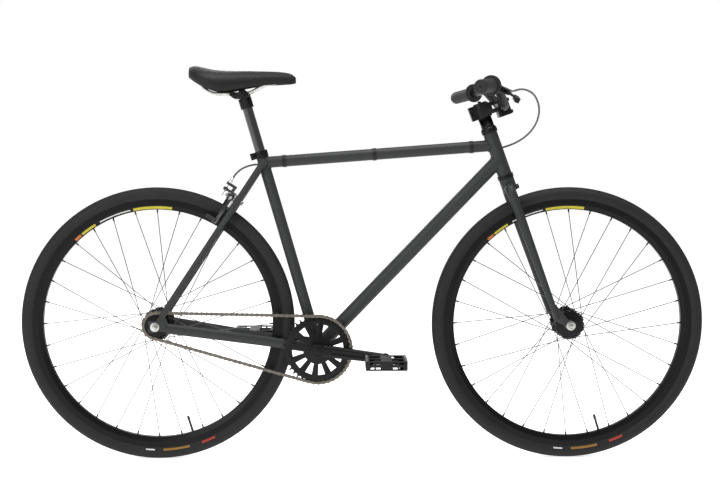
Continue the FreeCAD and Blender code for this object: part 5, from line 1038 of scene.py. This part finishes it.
# %% Weld beads
BEAD_RADIUS = 0.0019
BEAD_RIPPLE = 0.16
BEAD_POINTS = 120
BEAD_ROUNDNESS = 2
THIN_TUBE = 0.0143
WIDE_TUBE = 0.01745
DOWN_TUBE_TOP = 0.4515
SEAT_TUBE_LENGTH = 0.5165
STEER_FOOT = Vector((0.498105, 0, 0.338031))
STEER_UP = Vector((-0.34202, 0, 0.93969))
SEAT_UP = Vector((-0.27899, 0, 0.96029))
BRACKET = Vector((-0.11517, 0, 0.285))
TOP_TUBE = (Vector((-0.25146, 0, 0.75410)), Vector((0.33096, 0, 0.79726)))
DOWN_TUBE = (BRACKET, STEER_FOOT + DOWN_TUBE_TOP * STEER_UP)
SEAT_TUBE = (BRACKET, BRACKET + SEAT_TUBE_LENGTH * SEAT_UP)
WELDS = (
    ("head_top_weld", TOP_TUBE[0], TOP_TUBE[1], THIN_TUBE, "head_tube"),
    ("head_down_weld", DOWN_TUBE[0], DOWN_TUBE[1], WIDE_TUBE, "head_tube"),
    ("seat_top_weld", TOP_TUBE[1], TOP_TUBE[0], THIN_TUBE, "seat_tube"),
    ("bracket_down_weld", DOWN_TUBE[1], DOWN_TUBE[0], WIDE_TUBE, "bottom_bracket_shell"),
    ("bracket_seat_weld", SEAT_TUBE[1], SEAT_TUBE[0], THIN_TUBE, "bottom_bracket_shell"),
)


def bead_line(start, end, radius, target):
    """Where the surface lines of a round tube first meet the target's skin."""
    skin = skin_of(nodes[target])
    along = (end - start).normalized()
    first = along.cross(Vector((0, 1, 0))).normalized()
    second = along.cross(first)
    half_way = start.lerp(end, 0.5)
    places = []
    for index in range(BEAD_POINTS):
        turn = 2 * math.pi * index / BEAD_POINTS
        edge = half_way + radius * (math.cos(turn) * first + math.sin(turn) * second)
        spot, _, _, _ = skin.ray_cast(edge, along)
        if spot is not None:
            places.append(spot)
    return places


def bead_on(name, places):
    """A closed bead through the places, thicker and thinner by turns."""
    line = bpy.data.curves.new(name, "CURVE")
    line.dimensions = "3D"
    spline = line.splines.new("POLY")
    spline.points.add(len(places) - 1)
    for index, (point, place) in enumerate(zip(spline.points, places)):
        point.co = (*place, 1)
        point.radius = 1 + BEAD_RIPPLE * (index % 3 - 1)
    spline.use_cyclic_u = True
    line.bevel_depth = BEAD_RADIUS
    line.bevel_resolution = BEAD_ROUNDNESS
    piece = bpy.data.objects.new(name, line)
    bpy.context.scene.collection.objects.link(piece)
    take(piece)
    bpy.ops.object.convert(target="MESH")
    bpy.ops.object.shade_smooth()
    return bpy.context.object


for name, start, end, radius, target in WELDS:
    places = bead_line(start, end, radius, target)
    settle(bead_on(name, places), name, "frame", "frame_paint", finish["frame_paint"])
    print(name, len(places), "places")

# %% [markdown]
# Flat pedals bite the shoe with small studs. Each stud is turned on the lathe and set where a ray from
# above or below meets the cage.

# %% Pedal studs
STUD_RADIUS = 0.0019
STUD_HEIGHT = 0.0019
STUD_ROWS = (-0.92, 0.92)
STUD_COLUMNS = (-0.86, -0.44, 0.0, 0.44, 0.86)
STUD_FOOT = 0.0006
STUD_TIP_SHARE = 0.62
STUD_STEPS = 10
RAY_START = 0.05
CAGE_SHARE = 0.6
stud_outline = [(0.0, -STUD_FOOT), (STUD_RADIUS, -STUD_FOOT), (STUD_RADIUS, 0.5 * STUD_HEIGHT),
                (STUD_TIP_SHARE * STUD_RADIUS, STUD_HEIGHT), (0.0, STUD_HEIGHT)]


def studs_on(node):
    """Studs on both faces of a pedal's cage."""
    skin = skin_of(nodes[node])
    low, high = (Vector(corner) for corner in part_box(node))
    middle = (low + high) / 2
    half = (high - low) / 2
    studs = []
    for up in (1, -1):
        for row in STUD_ROWS:
            for column in STUD_COLUMNS:
                above = middle + Vector((row * half.x, column * half.y, up * (half.z + RAY_START)))
                spot, _, _, _ = skin.ray_cast(above, Vector((0, 0, -up)))
                if spot is None or abs(spot.z - middle.z) < CAGE_SHARE * half.z:
                    continue
                stud = lathe(stud_outline, STUD_STEPS)
                turn = Matrix.Rotation(0 if up > 0 else math.pi, 4, "X")
                stud.data.transform(Matrix.Translation(spot) @ turn)
                studs.append(stud)
    return studs


for side_name in ("right", "left"):
    studs = studs_on(side_name + "_pedal")
    if studs:
        settle(join_pieces(studs), side_name + "_pedal_studs", side_name + "_pedal", "steel", finish["steel"])
